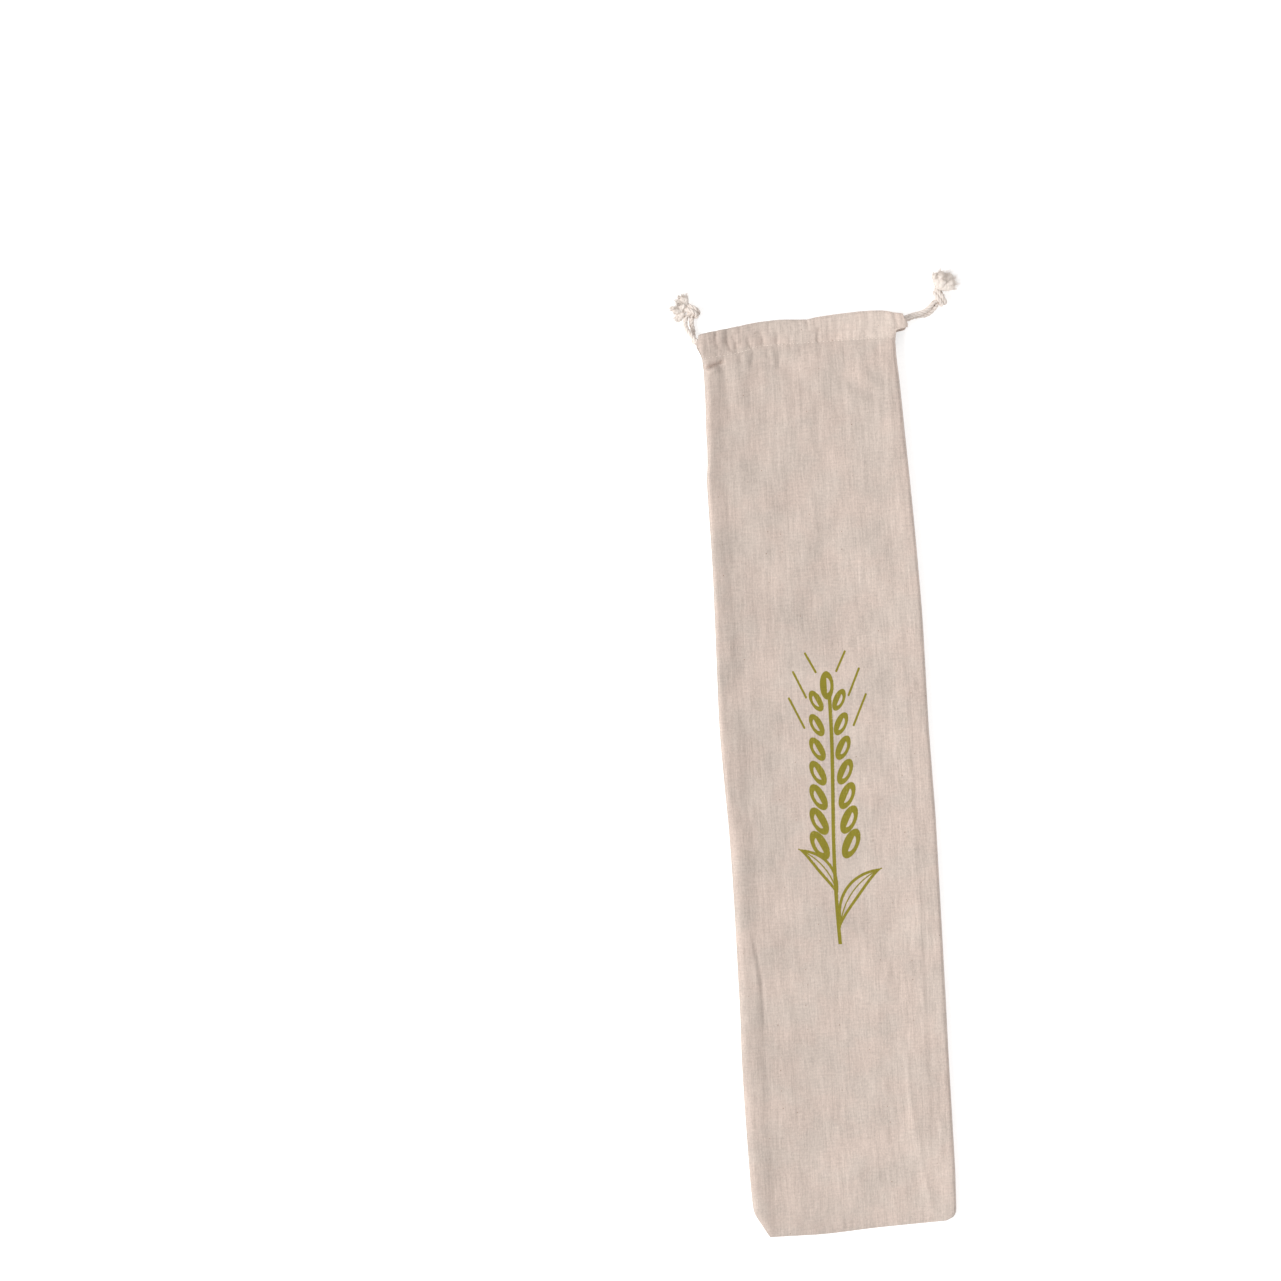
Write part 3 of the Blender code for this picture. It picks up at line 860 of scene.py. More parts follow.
def read(table: Sequence[Any], at: Array | float, column: str) -> Array:
    """Reads one column of a table on a curve with no overshoot.

    Args:
        table: Rows whose first column is the place.
        at: Where to read.
        column: Name of the column.

    Returns:
        The values there.
    """
    places = np.array([row[0] for row in table])
    values = np.array([getattr(row, column) for row in table])
    slopes = np.diff(values) / np.diff(places)
    product, total = slopes[:-1] * slopes[1:], slopes[:-1] + slopes[1:]
    inner = np.where(product > 0.0, 2.0 * product / np.where(product > 0.0, total, 1.0), 0.0)
    tangents = np.concatenate((slopes[:1], inner, slopes[-1:]))
    at = np.clip(at, places[0], places[-1])
    after = np.clip(np.searchsorted(places, at), 1, len(places) - 1)
    span = places[after] - places[after - 1]
    t = (at - places[after - 1]) / span
    left = 1.0 - t
    start = (1.0 + 2.0 * t) * left**2 * values[after - 1] + t * left**2 * span * tangents[after - 1]
    end = (1.0 + 2.0 * left) * t**2 * values[after] - left * t**2 * span * tangents[after]
    return start + end


def speckle(x: Array, y: Array, seed: float) -> Array:
    """Smooth noise about 0 at many places.

    Args:
        x: Places across, one unit to a feature.
        y: Places along.
        seed: Which noise to read.

    Returns:
        Values from about -1 to 1.
    """
    x, y = np.broadcast_arrays(x, y)
    found = [noise.noise(Vector((float(a), float(b), seed))) for a, b in zip(x.ravel(), y.ravel())]
    return np.array(found).reshape(x.shape)


@dataclass(frozen=True)
class BagForm:
    """The bag's outlines and layer heights, by the same rules as its solids."""

    cloth: float = 0.7
    fold_radius: float = 2.5
    layered: float = 1.1
    end_y: float = 335.0
    stitch_y: float = 314.0
    casing_end_x: float = 77.9
    casing_opens: float = 0.92
    hem_tail: float = 3.0
    hem_inset: float = 2.0
    slant_reach: float = 120.0
    front_edge_inset: float = 3.0
    back_edge_inset: float = 4.0
    curl_width: float = 8.0
    curl_height: float = 1.5
    roll_width: float = 6.5
    mouth_roll_width: float = 9.0
    casing_roll_width: float = 16.0
    right_steepness: float = 3.0
    left_steepness: tuple[float, float] = (1.3, 4.5)
    left_change: tuple[float, float] = (-50.0, 50.0)
    outline_inset: float = 0.4
    roll_power: float = 2.2
    mouth_fade: float = 14.0
    edge_height: float = 4.4
    casing_low: float = 13.3
    casing_crown: float = 15.8
    casing_edge: float = 11.8
    sides: tuple[SideStation, ...] = listed(SideStation, (
        (-335.0, -59.75, 69.75), (-332.5, -61.35, 75.25), (-328.0, -63.95, 77.15), (-315.0, -70.35, 77.55),
        (-296.0, -71.45, 77.95), (-208.0, -72.85, 77.75), (-165.0, -72.15, 77.95), (-92.0, -72.15, 77.95),
        (-41.0, -72.85, 77.95), (-5.0, -74.35, 77.25), (41.0, -75.75, 76.45), (97.0, -75.05, 76.45),
        (155.0, -74.35, 75.05), (221.0, -75.05, 72.25), (238.0, -73.35, 71.35), (262.0, -73.55, 70.25),
        (284.0, -72.85, 69.15), (304.0, -72.85, 67.85), (314.0, -74.05, 67.75),
    ))
    casing_ends: tuple[EndStation, ...] = listed(EndStation, (
        (0.00, -74.0, 67.8), (0.30, -75.2, 67.9), (0.42, -75.9, 70.4), (0.55, -76.7, 76.4),
        (0.68, -77.6, 76.6), (0.84, -77.8, 75.0), (1.00, -76.4, 73.8),
    ))
    mouth: tuple[MouthStation, ...] = listed(MouthStation, (
        (-79.45, 306.4, 324.0), (-72.75, 306.9, 325.2), (-48.05, 309.5, 328.8), (-30.65, 313.6, 331.2),
        (-15.75, 313.9, 332.0), (2.85, 314.2, 331.2), (10.15, 314.3, 332.4), (32.05, 314.5, 334.3),
        (48.25, 314.6, 335.0), (58.25, 314.4, 334.6), (67.05, 314.0, 332.8), (77.95, 313.5, 331.0),
    ))
    bottom: tuple[BottomStation, ...] = listed(BottomStation, (
        (-60.75, -335.0), (-28.75, -335.0), (19.25, -332.2), (78.25, -329.6),
    ))
    crown: tuple[CrownStation, ...] = listed(CrownStation, (
        (-335.0, 7.4), (-200.0, 7.9), (0.0, 8.2), (150.0, 8.8),
        (230.0, 10.2), (280.0, 12.3), (314.0, 13.0),
    ))

    def rolled(self, distance: Array, width: float) -> Array:
        """0 at a rolled edge, 1 once the cloth has left it."""
        return 1.0 - (1.0 - np.clip(distance / width, 0.0, 1.0)) ** self.roll_power

    def near_mouth(self, y: float) -> float:
        """0 along most of the body, 1 at the stitch line."""
        return float(smooth((y - self.stitch_y) / self.slant_reach + 1.0))

    def opened(self, share: float) -> float:
        """0 at the stitch line, 1 where the casing has its full height."""
        return float(smooth(share / self.casing_opens))

    def left_rise(self, y: float) -> float:
        """How steeply the left edge rolls over: gently low down, where it catches the light."""
        low, high = self.left_steepness
        start, end = self.left_change
        return low + (high - low) * float(smooth((y - start) / (end - start)))

    def body_place(self, across: Array, y: float) -> tuple[Array, Array, Array, Array]:
        """Where the cloth below the stitch line lies.

        Args:
            across: Shares from left to right.
            y: Row along the bag.

        Returns:
            x, y, the distance to the nearer side and the distance to the bottom.
        """
        left = read(self.sides, y, "left") + self.outline_inset
        right = read(self.sides, y, "right") - self.outline_inset
        x = left + across * (right - left)
        mouth_slant = read(self.mouth, x, "stitch") - self.stitch_y
        bottom_slant = read(self.bottom, x, "y") + self.end_y
        slanted = y + mouth_slant * self.near_mouth(y)
        slanted = slanted + bottom_slant * smooth(1.0 - (y + self.end_y) / self.slant_reach)
        side = np.minimum((x - left) * self.left_rise(y), (right - x) * self.right_steepness)
        return x, slanted, side, np.full_like(x, y + self.end_y)

    def casing_place(
        self, across: Array, share: float, inset: float = 0.0
    ) -> tuple[Array, Array, Array, Array]:
        """Where the casing lies.

        Args:
            across: Shares from left to right.
            share: Share of the way from the stitches to the mouth.
            inset: How much narrower the layer is at each end.

        Returns:
            x, the stitch line, the mouth's edge and the distance to the nearer end.
        """
        inset = inset + self.outline_inset
        left = read(self.casing_ends, share, "left") + inset
        right = read(self.casing_ends, share, "right") - inset
        x = left + across * (right - left)
        from_edge = np.minimum(x - left, right - x) + inset
        side = from_edge + (self.casing_end_x - np.abs(x) - from_edge) * self.opened(share)
        steep = self.left_steepness[1]
        side = side * np.where(x > 0.0, self.right_steepness, steep + (1.0 - steep) * self.opened(share))
        return x, read(self.mouth, x, "stitch"), read(self.mouth, x, "mouth"), side

    def narrowed(self, across: Array, y: float) -> Array:
        """The place across the body that the narrower turned-in layer covers."""
        width = read(self.sides, y, "right") - read(self.sides, y, "left")
        return (self.hem_inset + across * (width - 2.0 * self.hem_inset)) / width

    def tunnel_depth(self, share: float) -> float:
        """From the middle of a casing's outer layer to the middle of its turned-in layer."""
        return self.layered + (2.0 * self.fold_radius - self.layered) * self.opened(share)

    def casing_height(self, side: Array | float, share: float) -> Array:
        """Height of the front casing's outer layer, without its gathers.

        Args:
            side: Distance to the nearer end.
            share: Share of the way from the stitches to the mouth.

        Returns:
            The heights.
        """
        crown = self.casing_low + (self.casing_crown - self.casing_low) * self.opened(share)
        edge = self.edge_height + (self.casing_edge - self.edge_height) * self.opened(share)
        widening = (self.casing_roll_width - self.mouth_roll_width) * self.opened(share)
        width = self.mouth_roll_width + widening
        return edge + (crown - edge) * self.rolled(np.asarray(side), width)


# ------------------------------------------------------------
# Folds
# ------------------------------------------------------------


class FoldKind(Enum):
    """How a fold rises across its line."""

    RIDGE = "ridge"
    CREASE = "crease"
    STEP = "step"


RIDGE, CREASE, STEP = FoldKind


class Fold(NamedTuple):
    """A fold of the front along a line that may bow, its height below zero where it is a trough."""

    kind: FoldKind
    x0: float
    y0: float
    x1: float
    y1: float
    half_width: float
    height: float
    bow: float = 0.0

    def rise(self, x: Array, y: Array) -> Array:
        """Height that the fold adds.

        Args:
            x: Places across.
            y: Places along.

        Returns:
            Height at each place.
        """
        run_x, run_y = self.x1 - self.x0, self.y1 - self.y0
        length = math.hypot(run_x, run_y)
        along = ((x - self.x0) * run_x + (y - self.y0) * run_y) / length
        aside = ((x - self.x0) * run_y - (y - self.y0) * run_x) / length
        share = np.clip(along / length, 0.0, 1.0)
        aside = (aside - 4.0 * self.bow * share * (1.0 - share)) / self.half_width
        fade = max(self.half_width, 0.12 * length)
        ends = smooth((along + fade) / (2.0 * fade)) * smooth((length + fade - along) / (2.0 * fade))
        if self.kind is RIDGE:
            across = np.exp(-(aside**2))
        elif self.kind is CREASE:
            across = np.exp(-np.abs(aside) ** 1.25)
        else:
            across = smooth(0.5 + 0.5 * aside) * np.exp(-(np.clip(aside, 0.0, None) / 6.0) ** 2)
        return self.height * ends * across


class Gather(NamedTuple):
    """A crease of the front casing, drawn in by the cord and the stitches."""

    x_mouth: float
    x_stitch: float
    half_width: float
    depth: float
    low: float
    high: float


@dataclass(frozen=True)
class FrontRelief:
    """What stands out of the front panel and its casing."""

    gathers: tuple[Gather, ...] = listed(Gather, (
        (-71.6, -70.6, 1.6, 1.0, 0.05, 0.95), (-63.0, -62.4, 1.3, 2.9, 0.38, 1.15),
        (-55.6, -53.0, 2.2, 3.1, 0.16, 1.15), (-50.6, -49.0, 1.7, 2.4, 0.00, 0.78),
        (-45.2, -46.2, 1.2, 1.2, 0.35, 1.10), (-41.4, -38.0, 1.5, 1.9, 0.00, 0.58),
        (-31.4, -29.4, 2.2, 1.9, 0.00, 0.74), (-24.8, -23.0, 1.1, 1.0, 0.40, 1.05),
        (-19.4, -19.0, 1.3, 1.1, 0.00, 0.70), (-14.6, -14.6, 1.2, 0.7, 0.30, 0.90),
        (-9.2, -8.2, 1.5, 0.8, 0.05, 0.90), (-2.6, -3.0, 1.3, 0.5, 0.00, 0.60),
        (2.2, 6.6, 1.2, 1.5, 0.66, 1.15), (10.3, 11.6, 1.3, 1.9, 0.00, 0.62),
        (18.4, 18.4, 1.5, 0.3, 0.00, 0.80), (24.8, 24.4, 1.6, 0.6, 0.05, 0.95),
        (36.0, 35.5, 1.6, 0.3, 0.05, 0.85), (46.7, 46.0, 1.6, 0.5, 0.10, 1.00),
        (59.7, 60.2, 1.5, 0.5, 0.05, 1.05), (67.4, 67.6, 1.2, 1.3, 0.05, 1.15),
    ))
    folds: tuple[Fold, ...] = (
        # Under the casing at the left: a pinch, the puff below it and the valley that runs down
        Fold(CREASE, -73.4, 299.6, -58.8, 304.4, 1.1, -4.2, 0.6),
        Fold(RIDGE, -70.6, 296.2, -63.0, 299.4, 2.4, 2.2),
        Fold(RIDGE, -71.0, 303.8, -58.0, 308.2, 1.6, 1.1),
        Fold(RIDGE, -57.6, 300.0, -56.6, 268.0, 4.2, -1.3),
        Fold(RIDGE, -50.8, 303.0, -46.5, 250.0, 5.5, 1.0),
        # Puckers that hang from the stitch line
        Fold(CREASE, -46.8, 308.5, -46.0, 302.0, 1.7, -1.0),
        Fold(CREASE, -35.6, 311.0, -38.4, 300.0, 2.4, -1.2),
        Fold(CREASE, -26.8, 312.5, -26.4, 305.5, 1.5, -0.9),
        Fold(CREASE, -16.6, 312.5, -18.6, 297.0, 2.4, -1.0),
        Fold(RIDGE, -22.6, 311.0, -21.6, 300.0, 2.0, 0.6),
        Fold(RIDGE, -41.8, 309.0, -42.4, 296.0, 2.6, 0.7),
        Fold(CREASE, -2.4, 312.5, -2.0, 305.0, 1.6, -0.8),
        Fold(CREASE, 13.0, 312.5, 12.0, 303.0, 1.6, -0.5),
        Fold(CREASE, 28.4, 313.0, 30.4, 303.0, 2.6, -0.7),
        Fold(CREASE, 40.0, 313.0, 39.6, 306.0, 2.0, -0.6),
        Fold(CREASE, 54.0, 312.0, 54.6, 302.0, 1.8, -0.5),
        # Slanting wrinkles at the right, under the casing
        Fold(RIDGE, 37.0, 293.0, 57.0, 279.0, 4.0, 0.5, 1.0),
        Fold(RIDGE, 28.5, 288.5, 51.5, 272.0, 4.5, -1.1, 1.5),
        Fold(RIDGE, 23.0, 280.0, 43.0, 260.0, 5.5, 0.6, 1.0),
        Fold(RIDGE, -18.0, 303.0, 2.0, 280.0, 7.0, -1.3),
        Fold(RIDGE, 8.0, 306.0, 14.0, 262.0, 6.0, 0.6),
        Fold(RIDGE, 60.0, 300.0, 60.5, 240.0, 3.0, 0.5),
        # The seam allowance inside shows through along both sides
        Fold(STEP, -64.5, 120.0, -66.0, 300.0, 6.5, -2.0),
        Fold(STEP, -60.4, -120.0, -61.8, 110.0, 5.0, -1.45, 0.6),
        Fold(STEP, -58.6, -326.0, -60.0, -140.0, 4.4, -1.3, 1.0),
        Fold(STEP, 61.5, 120.0, 61.0, -300.0, 1.8, 0.5, -1.5),
        # Low on the left edge, a sharp bent crease
        Fold(CREASE, -60.6, -116.0, -56.0, -182.0, 1.3, -1.0, -2.6),
        Fold(RIDGE, -63.6, -112.0, -59.6, -176.0, 2.4, 0.6, -2.4),
        # Low on the right, a pale ridge, and a faint line across the bottom
        Fold(RIDGE, 46.0, -205.0, 58.5, -318.0, 2.6, 0.8, 2.0),
        Fold(STEP, -36.0, -298.0, 70.0, -294.5, 1.4, 0.35),
        # Long soft undulations
        Fold(RIDGE, -22.0, 130.0, -11.0, -120.0, 12.0, 0.55, 3.0),
        Fold(RIDGE, 29.0, 60.0, 23.0, -260.0, 10.0, 0.6, -2.0),
        Fold(RIDGE, 6.0, 240.0, 16.0, 90.0, 9.0, -0.5, 2.0),
        Fold(RIDGE, -40.0, -170.0, -36.0, -310.0, 7.0, 0.5, 1.0),
        Fold(RIDGE, 40.0, 230.0, 44.0, 150.0, 7.0, 0.5, -1.0),
    )
    puff_height: float = 1.0
    puff_reach: float = 0.8
    gather_wander: float = 0.7
    gather_edge: float = 0.22
    gather_uneven: float = 0.2
    gather_power: float = 1.3
    groove: float = 0.4
    groove_width: float = 1.1
    gathered_from: float = 215.0
    gathered_over: float = 95.0
    ripple: float = 0.34
    ripple_gain: tuple[float, float] = (0.35, 1.3)
    ripple_size: tuple[float, float] = (6.0, 34.0)
    casing_ripple: float = 0.45
    casing_ripple_size: tuple[float, float] = (3.4, 1.4)
    sway: float = 0.5
    sway_size: tuple[float, float] = (24.0, 60.0)

    def body(self, form: BagForm, x: Array, y: Array) -> Array:
        """Height added below the stitch line.

        Args:
            form: The bag's form.
            x: Places across.
            y: Places along.

        Returns:
            The heights.
        """
        height = sum(fold.rise(x, y) for fold in self.folds)
        gathered = smooth((y - self.gathered_from) / self.gathered_over)
        ripples = speckle(x / self.ripple_size[0], y / self.ripple_size[1], 3.0)
        sways = speckle(x / self.sway_size[0], y / self.sway_size[1], 11.0)
        least, more = self.ripple_gain
        height = height + self.ripple * (least + more * gathered) * ripples + self.sway * sways
        below = read(form.mouth, x, "stitch") - y
        return height - self.groove * np.exp(-((below / self.groove_width) ** 2))

    def casing(self, form: BagForm, x: Array, share: float) -> Array:
        """Height added to the casing's outer layer.

        Args:
            form: The bag's form.
            x: Places across.
            share: Share of the way to the mouth.

        Returns:
            The heights.
        """
        height = self.puff_height * float(smooth(share / self.puff_reach)) * np.ones_like(x)
        for gather in self.gathers:
            at = gather.x_stitch + (gather.x_mouth - gather.x_stitch) * share
            at += self.gather_wander * math.sin(6.0 * share + gather.x_mouth)
            deep = smooth((share - gather.low) / self.gather_edge + 0.5)
            deep = deep * smooth((gather.high - share) / self.gather_edge + 0.5)
            waving = self.gather_uneven * math.sin(9.0 * share + 2.0 * gather.x_mouth)
            deep *= 1.0 - self.gather_uneven + waving
            aside = np.abs((x - at) / gather.half_width)
            height = height - gather.depth * deep * np.exp(-(aside**self.gather_power))
        size_x, size_y = self.casing_ripple_size
        ripples = speckle(x / size_x, np.full_like(x, share * size_y), 23.0)
        near_stitch = share * (form.end_y - form.stitch_y) / self.groove_width
        return height + self.casing_ripple * ripples - self.groove * math.exp(-(near_stitch**2))


# ------------------------------------------------------------
# Panels
# ------------------------------------------------------------


class Row(NamedTuple):
    """One row of a panel: the rule that lays it, what the rule reads, and its place on the flat cloth."""

    rule: Callable[[Array, float], Array]
    value: float
    along: float


def stacked(x: Array, y: Array, z: Array) -> Array:
    """Three arrays as one array of points."""
    return np.stack(np.broadcast_arrays(x, y, z), axis=-1).astype(float)


def spread(count: int, edge_shares: Sequence[float]) -> Array:
    """Shares from 0 to 1, close together at both edges and evenly spaced between.

    Args:
        count: Steps between the edge columns.
        edge_shares: Shares of the columns at one edge.

    Returns:
        The shares.
    """
    edge = np.array(edge_shares[:-1])
    middle = np.linspace(edge_shares[-1], 1.0 - edge_shares[-1], count + 1)
    return np.concatenate((edge, middle, 1.0 - edge[::-1]))


@dataclass
class Panel(ABC):
    """A sheet of cloth laid as a grid, with a turned-in seam down its sides and along its bottom."""

    form: BagForm
    name: str
    node: str
    turn_up: bool
    columns: Array
    edge_inset: float
    seam_radius: float = 0.5
    seam_run: float = 2.6
    seam_slope_deg: float = 33.0
    seam_steps: int = 5
    seam_least: float = 0.35
    seam_taper: float = 10.0
    flat_shift: float = 0.0
    rows: list[Row] = field(default_factory=list)

    @abstractmethod
    def body(self, across: Array, y: float) -> Array:
        """The cloth under the stitch line."""

    @abstractmethod
    def outer(self, across: Array, share: float) -> Array:
        """The outer layer of the casing."""

    @abstractmethod
    def fold(self, across: Array, turn: float) -> Array:
        """The mouth's edge, from the outer layer at 0 degrees to the inner one at 180."""

    @abstractmethod
    def inner(self, across: Array, share: float) -> Array:
        """The turned-in layer of the casing."""

    def hem(self, across: Array, below: float) -> Array:
        """The turned-in layer below the stitch line, close against the body.

        Args:
            across: Shares from left to right.
            below: How far below the stitch line.

        Returns:
            The row's points.
        """
        y = self.form.stitch_y - below
        points = self.body(self.form.narrowed(across, y), y)
        points[:, 2] += self.inward * self.form.layered
        return points

    @property
    def inward(self) -> float:
        """1 where the cloth turns in upwards, -1 where it does so downwards."""
        return 1.0 if self.turn_up else -1.0

    def casing_layer(self, across: Array, share: float, inset: float = 0.0) -> tuple[Array, Array, Array]:
        """Where a layer of the casing lies: x, y and the distance to the nearer end."""
        x, stitch, mouth, side = self.form.casing_place(across, share, inset)
        return x, stitch + share * (mouth - self.edge_inset - stitch), side

    def edge_layer(self, across: Array, turn: float) -> tuple[Array, Array, Array, float]:
        """Where the mouth's edge lies: x, y, the distance to the nearer end and the turn in radians.

        Args:
            across: Shares from left to right.
            turn: Turn of the cloth, in degrees.

        Returns:
            The four of them.
        """
        form = self.form
        x, _, mouth, side = form.casing_place(across, 1.0, form.hem_inset * float(smooth(turn / 180.0)))
        angle = math.radians(turn)
        return x, mouth - self.edge_inset + form.fold_radius * math.sin(angle), side, angle

    def casing_rows(self, count: int) -> list[Row]:
        """Rows of the casing, from the stitches round the mouth's edge and back to the tail of the hem.

        Args:
            count: Rows of the outer layer.

        Returns:
            The rows.
        """
        form = self.form
        depth = form.end_y - form.front_edge_inset - form.stitch_y
        shares = np.linspace(0.0, 1.0, count + 1)
        rows = [Row(self.outer, float(s), form.stitch_y + depth * float(s)) for s in shares]
        along = form.stitch_y + depth
        for turn in np.linspace(0.0, 180.0, 13)[1:-1]:
            rows.append(Row(self.fold, float(turn), along + form.fold_radius * math.radians(float(turn))))
        along += form.fold_radius * math.pi
        rows += [Row(self.inner, float(s), along + depth * (1.0 - float(s))) for s in shares[::-2]]
        return rows + [Row(self.hem, form.hem_tail, along + depth + form.hem_tail)]

    def body_rows(self, steps: Sequence[tuple[float, float, float]]) -> Array:
        """Places along the body.

        Args:
            steps: Start, end and spacing of each stretch.

        Returns:
            The places, from the bottom up.
        """
        stretches = [np.linspace(a, b, max(2, round((b - a) / step) + 1))[:-1] for a, b, step in steps]
        return np.concatenate((*stretches, [steps[-1][1]]))

    def build(self, materials: Sequence[bpy.types.Material]) -> bpy.types.Object:
        """Lays the sheet and gives it its thickness.

        Args:
            materials: Outer finish, and the inner one if it differs.

        Returns:
            The finished piece.
        """
        grid = np.stack([row.rule(self.columns, row.value) for row in self.rows])
        flat = np.stack([stacked(points[:, 0], np.array(row.along), np.array(0.0))
                         for row, points in zip(self.rows, grid)])
        height, width = grid.shape[:2]
        index = np.arange(height * width).reshape(height, width)
        faces = np.stack((index[:-1, :-1], index[:-1, 1:], index[1:, 1:], index[1:, :-1]), axis=-1)
        points, flats, quads = [grid.reshape(-1, 3)], [flat.reshape(-1, 3)], [faces.reshape(-1, 4)]
        self._turn_in(grid, flat, index, points, flats, quads)
        return self._sheet(np.concatenate(points), np.concatenate(flats), np.concatenate(quads), materials)

    def _turn_in(
        self,
        grid: Array,
        flat: Array,
        index: Array,
        points: list[Array],
        flats: list[Array],
        quads: list[Array],
    ) -> None:
        """Adds the seam: the cloth turns under at its edge and runs back inside the bag.

        Args:
            grid: The sheet's points.
            flat: The same on the flat cloth.
            index: Their numbers.
            points: Takes the seam's points.
            flats: Takes the same on the flat cloth.
            quads: Takes its faces.
        """
        tail = self.form.stitch_y - self.form.hem_tail
        top = next(number for number, row in enumerate(self.rows) if row.value == tail)
        way = [(row, 0) for row in range(top, 0, -1)]
        way += [(0, column) for column in range(index.shape[1])]
        way += [(row, index.shape[1] - 1) for row in range(1, top + 1)]
        rows, cols = np.array(way).T
        rim, rim_flat, last = grid[rows, cols], flat[rows, cols], index[rows, cols]
        tangent = np.gradient(rim[:, :2], axis=0)
        tangent /= np.linalg.norm(tangent, axis=1, keepdims=True)
        outward = self._evened(np.stack((tangent[:, 1], -tangent[:, 0]), axis=1))
        gone = np.concatenate(([0.0], np.cumsum(np.linalg.norm(np.diff(rim, axis=0), axis=1))))
        ends = smooth(np.minimum(gone, gone[-1] - gone) / self.seam_taper)
        ends = self.seam_least + (1.0 - self.seam_least) * ends
        start = math.radians(self.seam_slope_deg)
        first = index.size
        for step in range(1, self.seam_steps + 3):
            turn = start + (math.pi - start) * min(step / self.seam_steps, 1.0)
            run = self.seam_run * max(step - self.seam_steps, 0) / 2.0
            out = self.seam_radius * (math.sin(turn) - math.sin(start)) - run
            rise = self.inward * self.seam_radius * (math.cos(start) - math.cos(turn))
            ring = rim.copy()
            ring[:, :2] += outward * (out * ends)[:, None]
            ring[:, 2] += rise * ends
            reach = self.seam_radius * (turn - start) + run
            ring_flat = rim_flat.copy()
            ring_flat[:, :2] += outward * reach
            fresh = np.arange(first, first + len(ring))
            first += len(ring)
            points.append(ring)
            flats.append(ring_flat)
            quads.append(np.stack((last[:-1], fresh[:-1], fresh[1:], last[1:]), axis=-1))
            last = fresh

    @staticmethod
    def _evened(ways: Array, passes: int = 3) -> Array:
        """Directions averaged with their neighbours, so that corners turn evenly."""
        for _ in range(passes):
            ways[1:-1] = (ways[:-2] + 2.0 * ways[1:-1] + ways[2:]) / 4.0
            ways /= np.linalg.norm(ways, axis=1, keepdims=True)
        return ways

    def _sheet(
        self, points: Array, flats: Array, quads: Array, materials: Sequence[bpy.types.Material]
    ) -> bpy.types.Object:
        """Makes the mesh, its cloth coordinates and its thickness.

        Args:
            points: All points.
            flats: The same on the flat cloth.
            quads: All faces.
            materials: Outer finish, and the inner one if it differs.

        Returns:
            The finished piece.
        """
        mesh = bpy.data.meshes.new(self.name)
        mesh.from_pydata((points * MM).tolist(), [], quads.tolist())
        layer = mesh.uv_layers.new(name="cloth")
        corners = np.empty(len(mesh.loops), dtype=np.int64)
        mesh.loops.foreach_get("vertex_index", corners)
        flats = flats * MM
        flats[:, 0] += self.flat_shift * MM
        layer.data.foreach_set("uv", flats[corners, :2].astype(np.float32).ravel())
        for material in materials:
            mesh.materials.append(material)
        thing = in_scene(self.name, mesh)
        thickness = thing.modifiers.new("cloth", "SOLIDIFY")
        thickness.thickness = self.form.cloth * MM
        thickness.offset = 0.0
        thickness.material_offset = len(materials) - 1
        thickness.material_offset_rim = len(materials) - 1
        return kept(thing)


def kept(thing: bpy.types.Object) -> bpy.types.Object:
    """Applies an object's modifiers and shades it smooth.

    Args:
        thing: The object.

    Returns:
        The same object, with a plain mesh.
    """
    graph = bpy.context.evaluated_depsgraph_get()
    mesh = bpy.data.meshes.new_from_object(thing.evaluated_get(graph), depsgraph=graph)
    old = thing.data
    thing.modifiers.clear()
    thing.data = mesh
    bpy.data.meshes.remove(old)
    mesh.name = thing.name
    mesh.shade_smooth()
    return thing


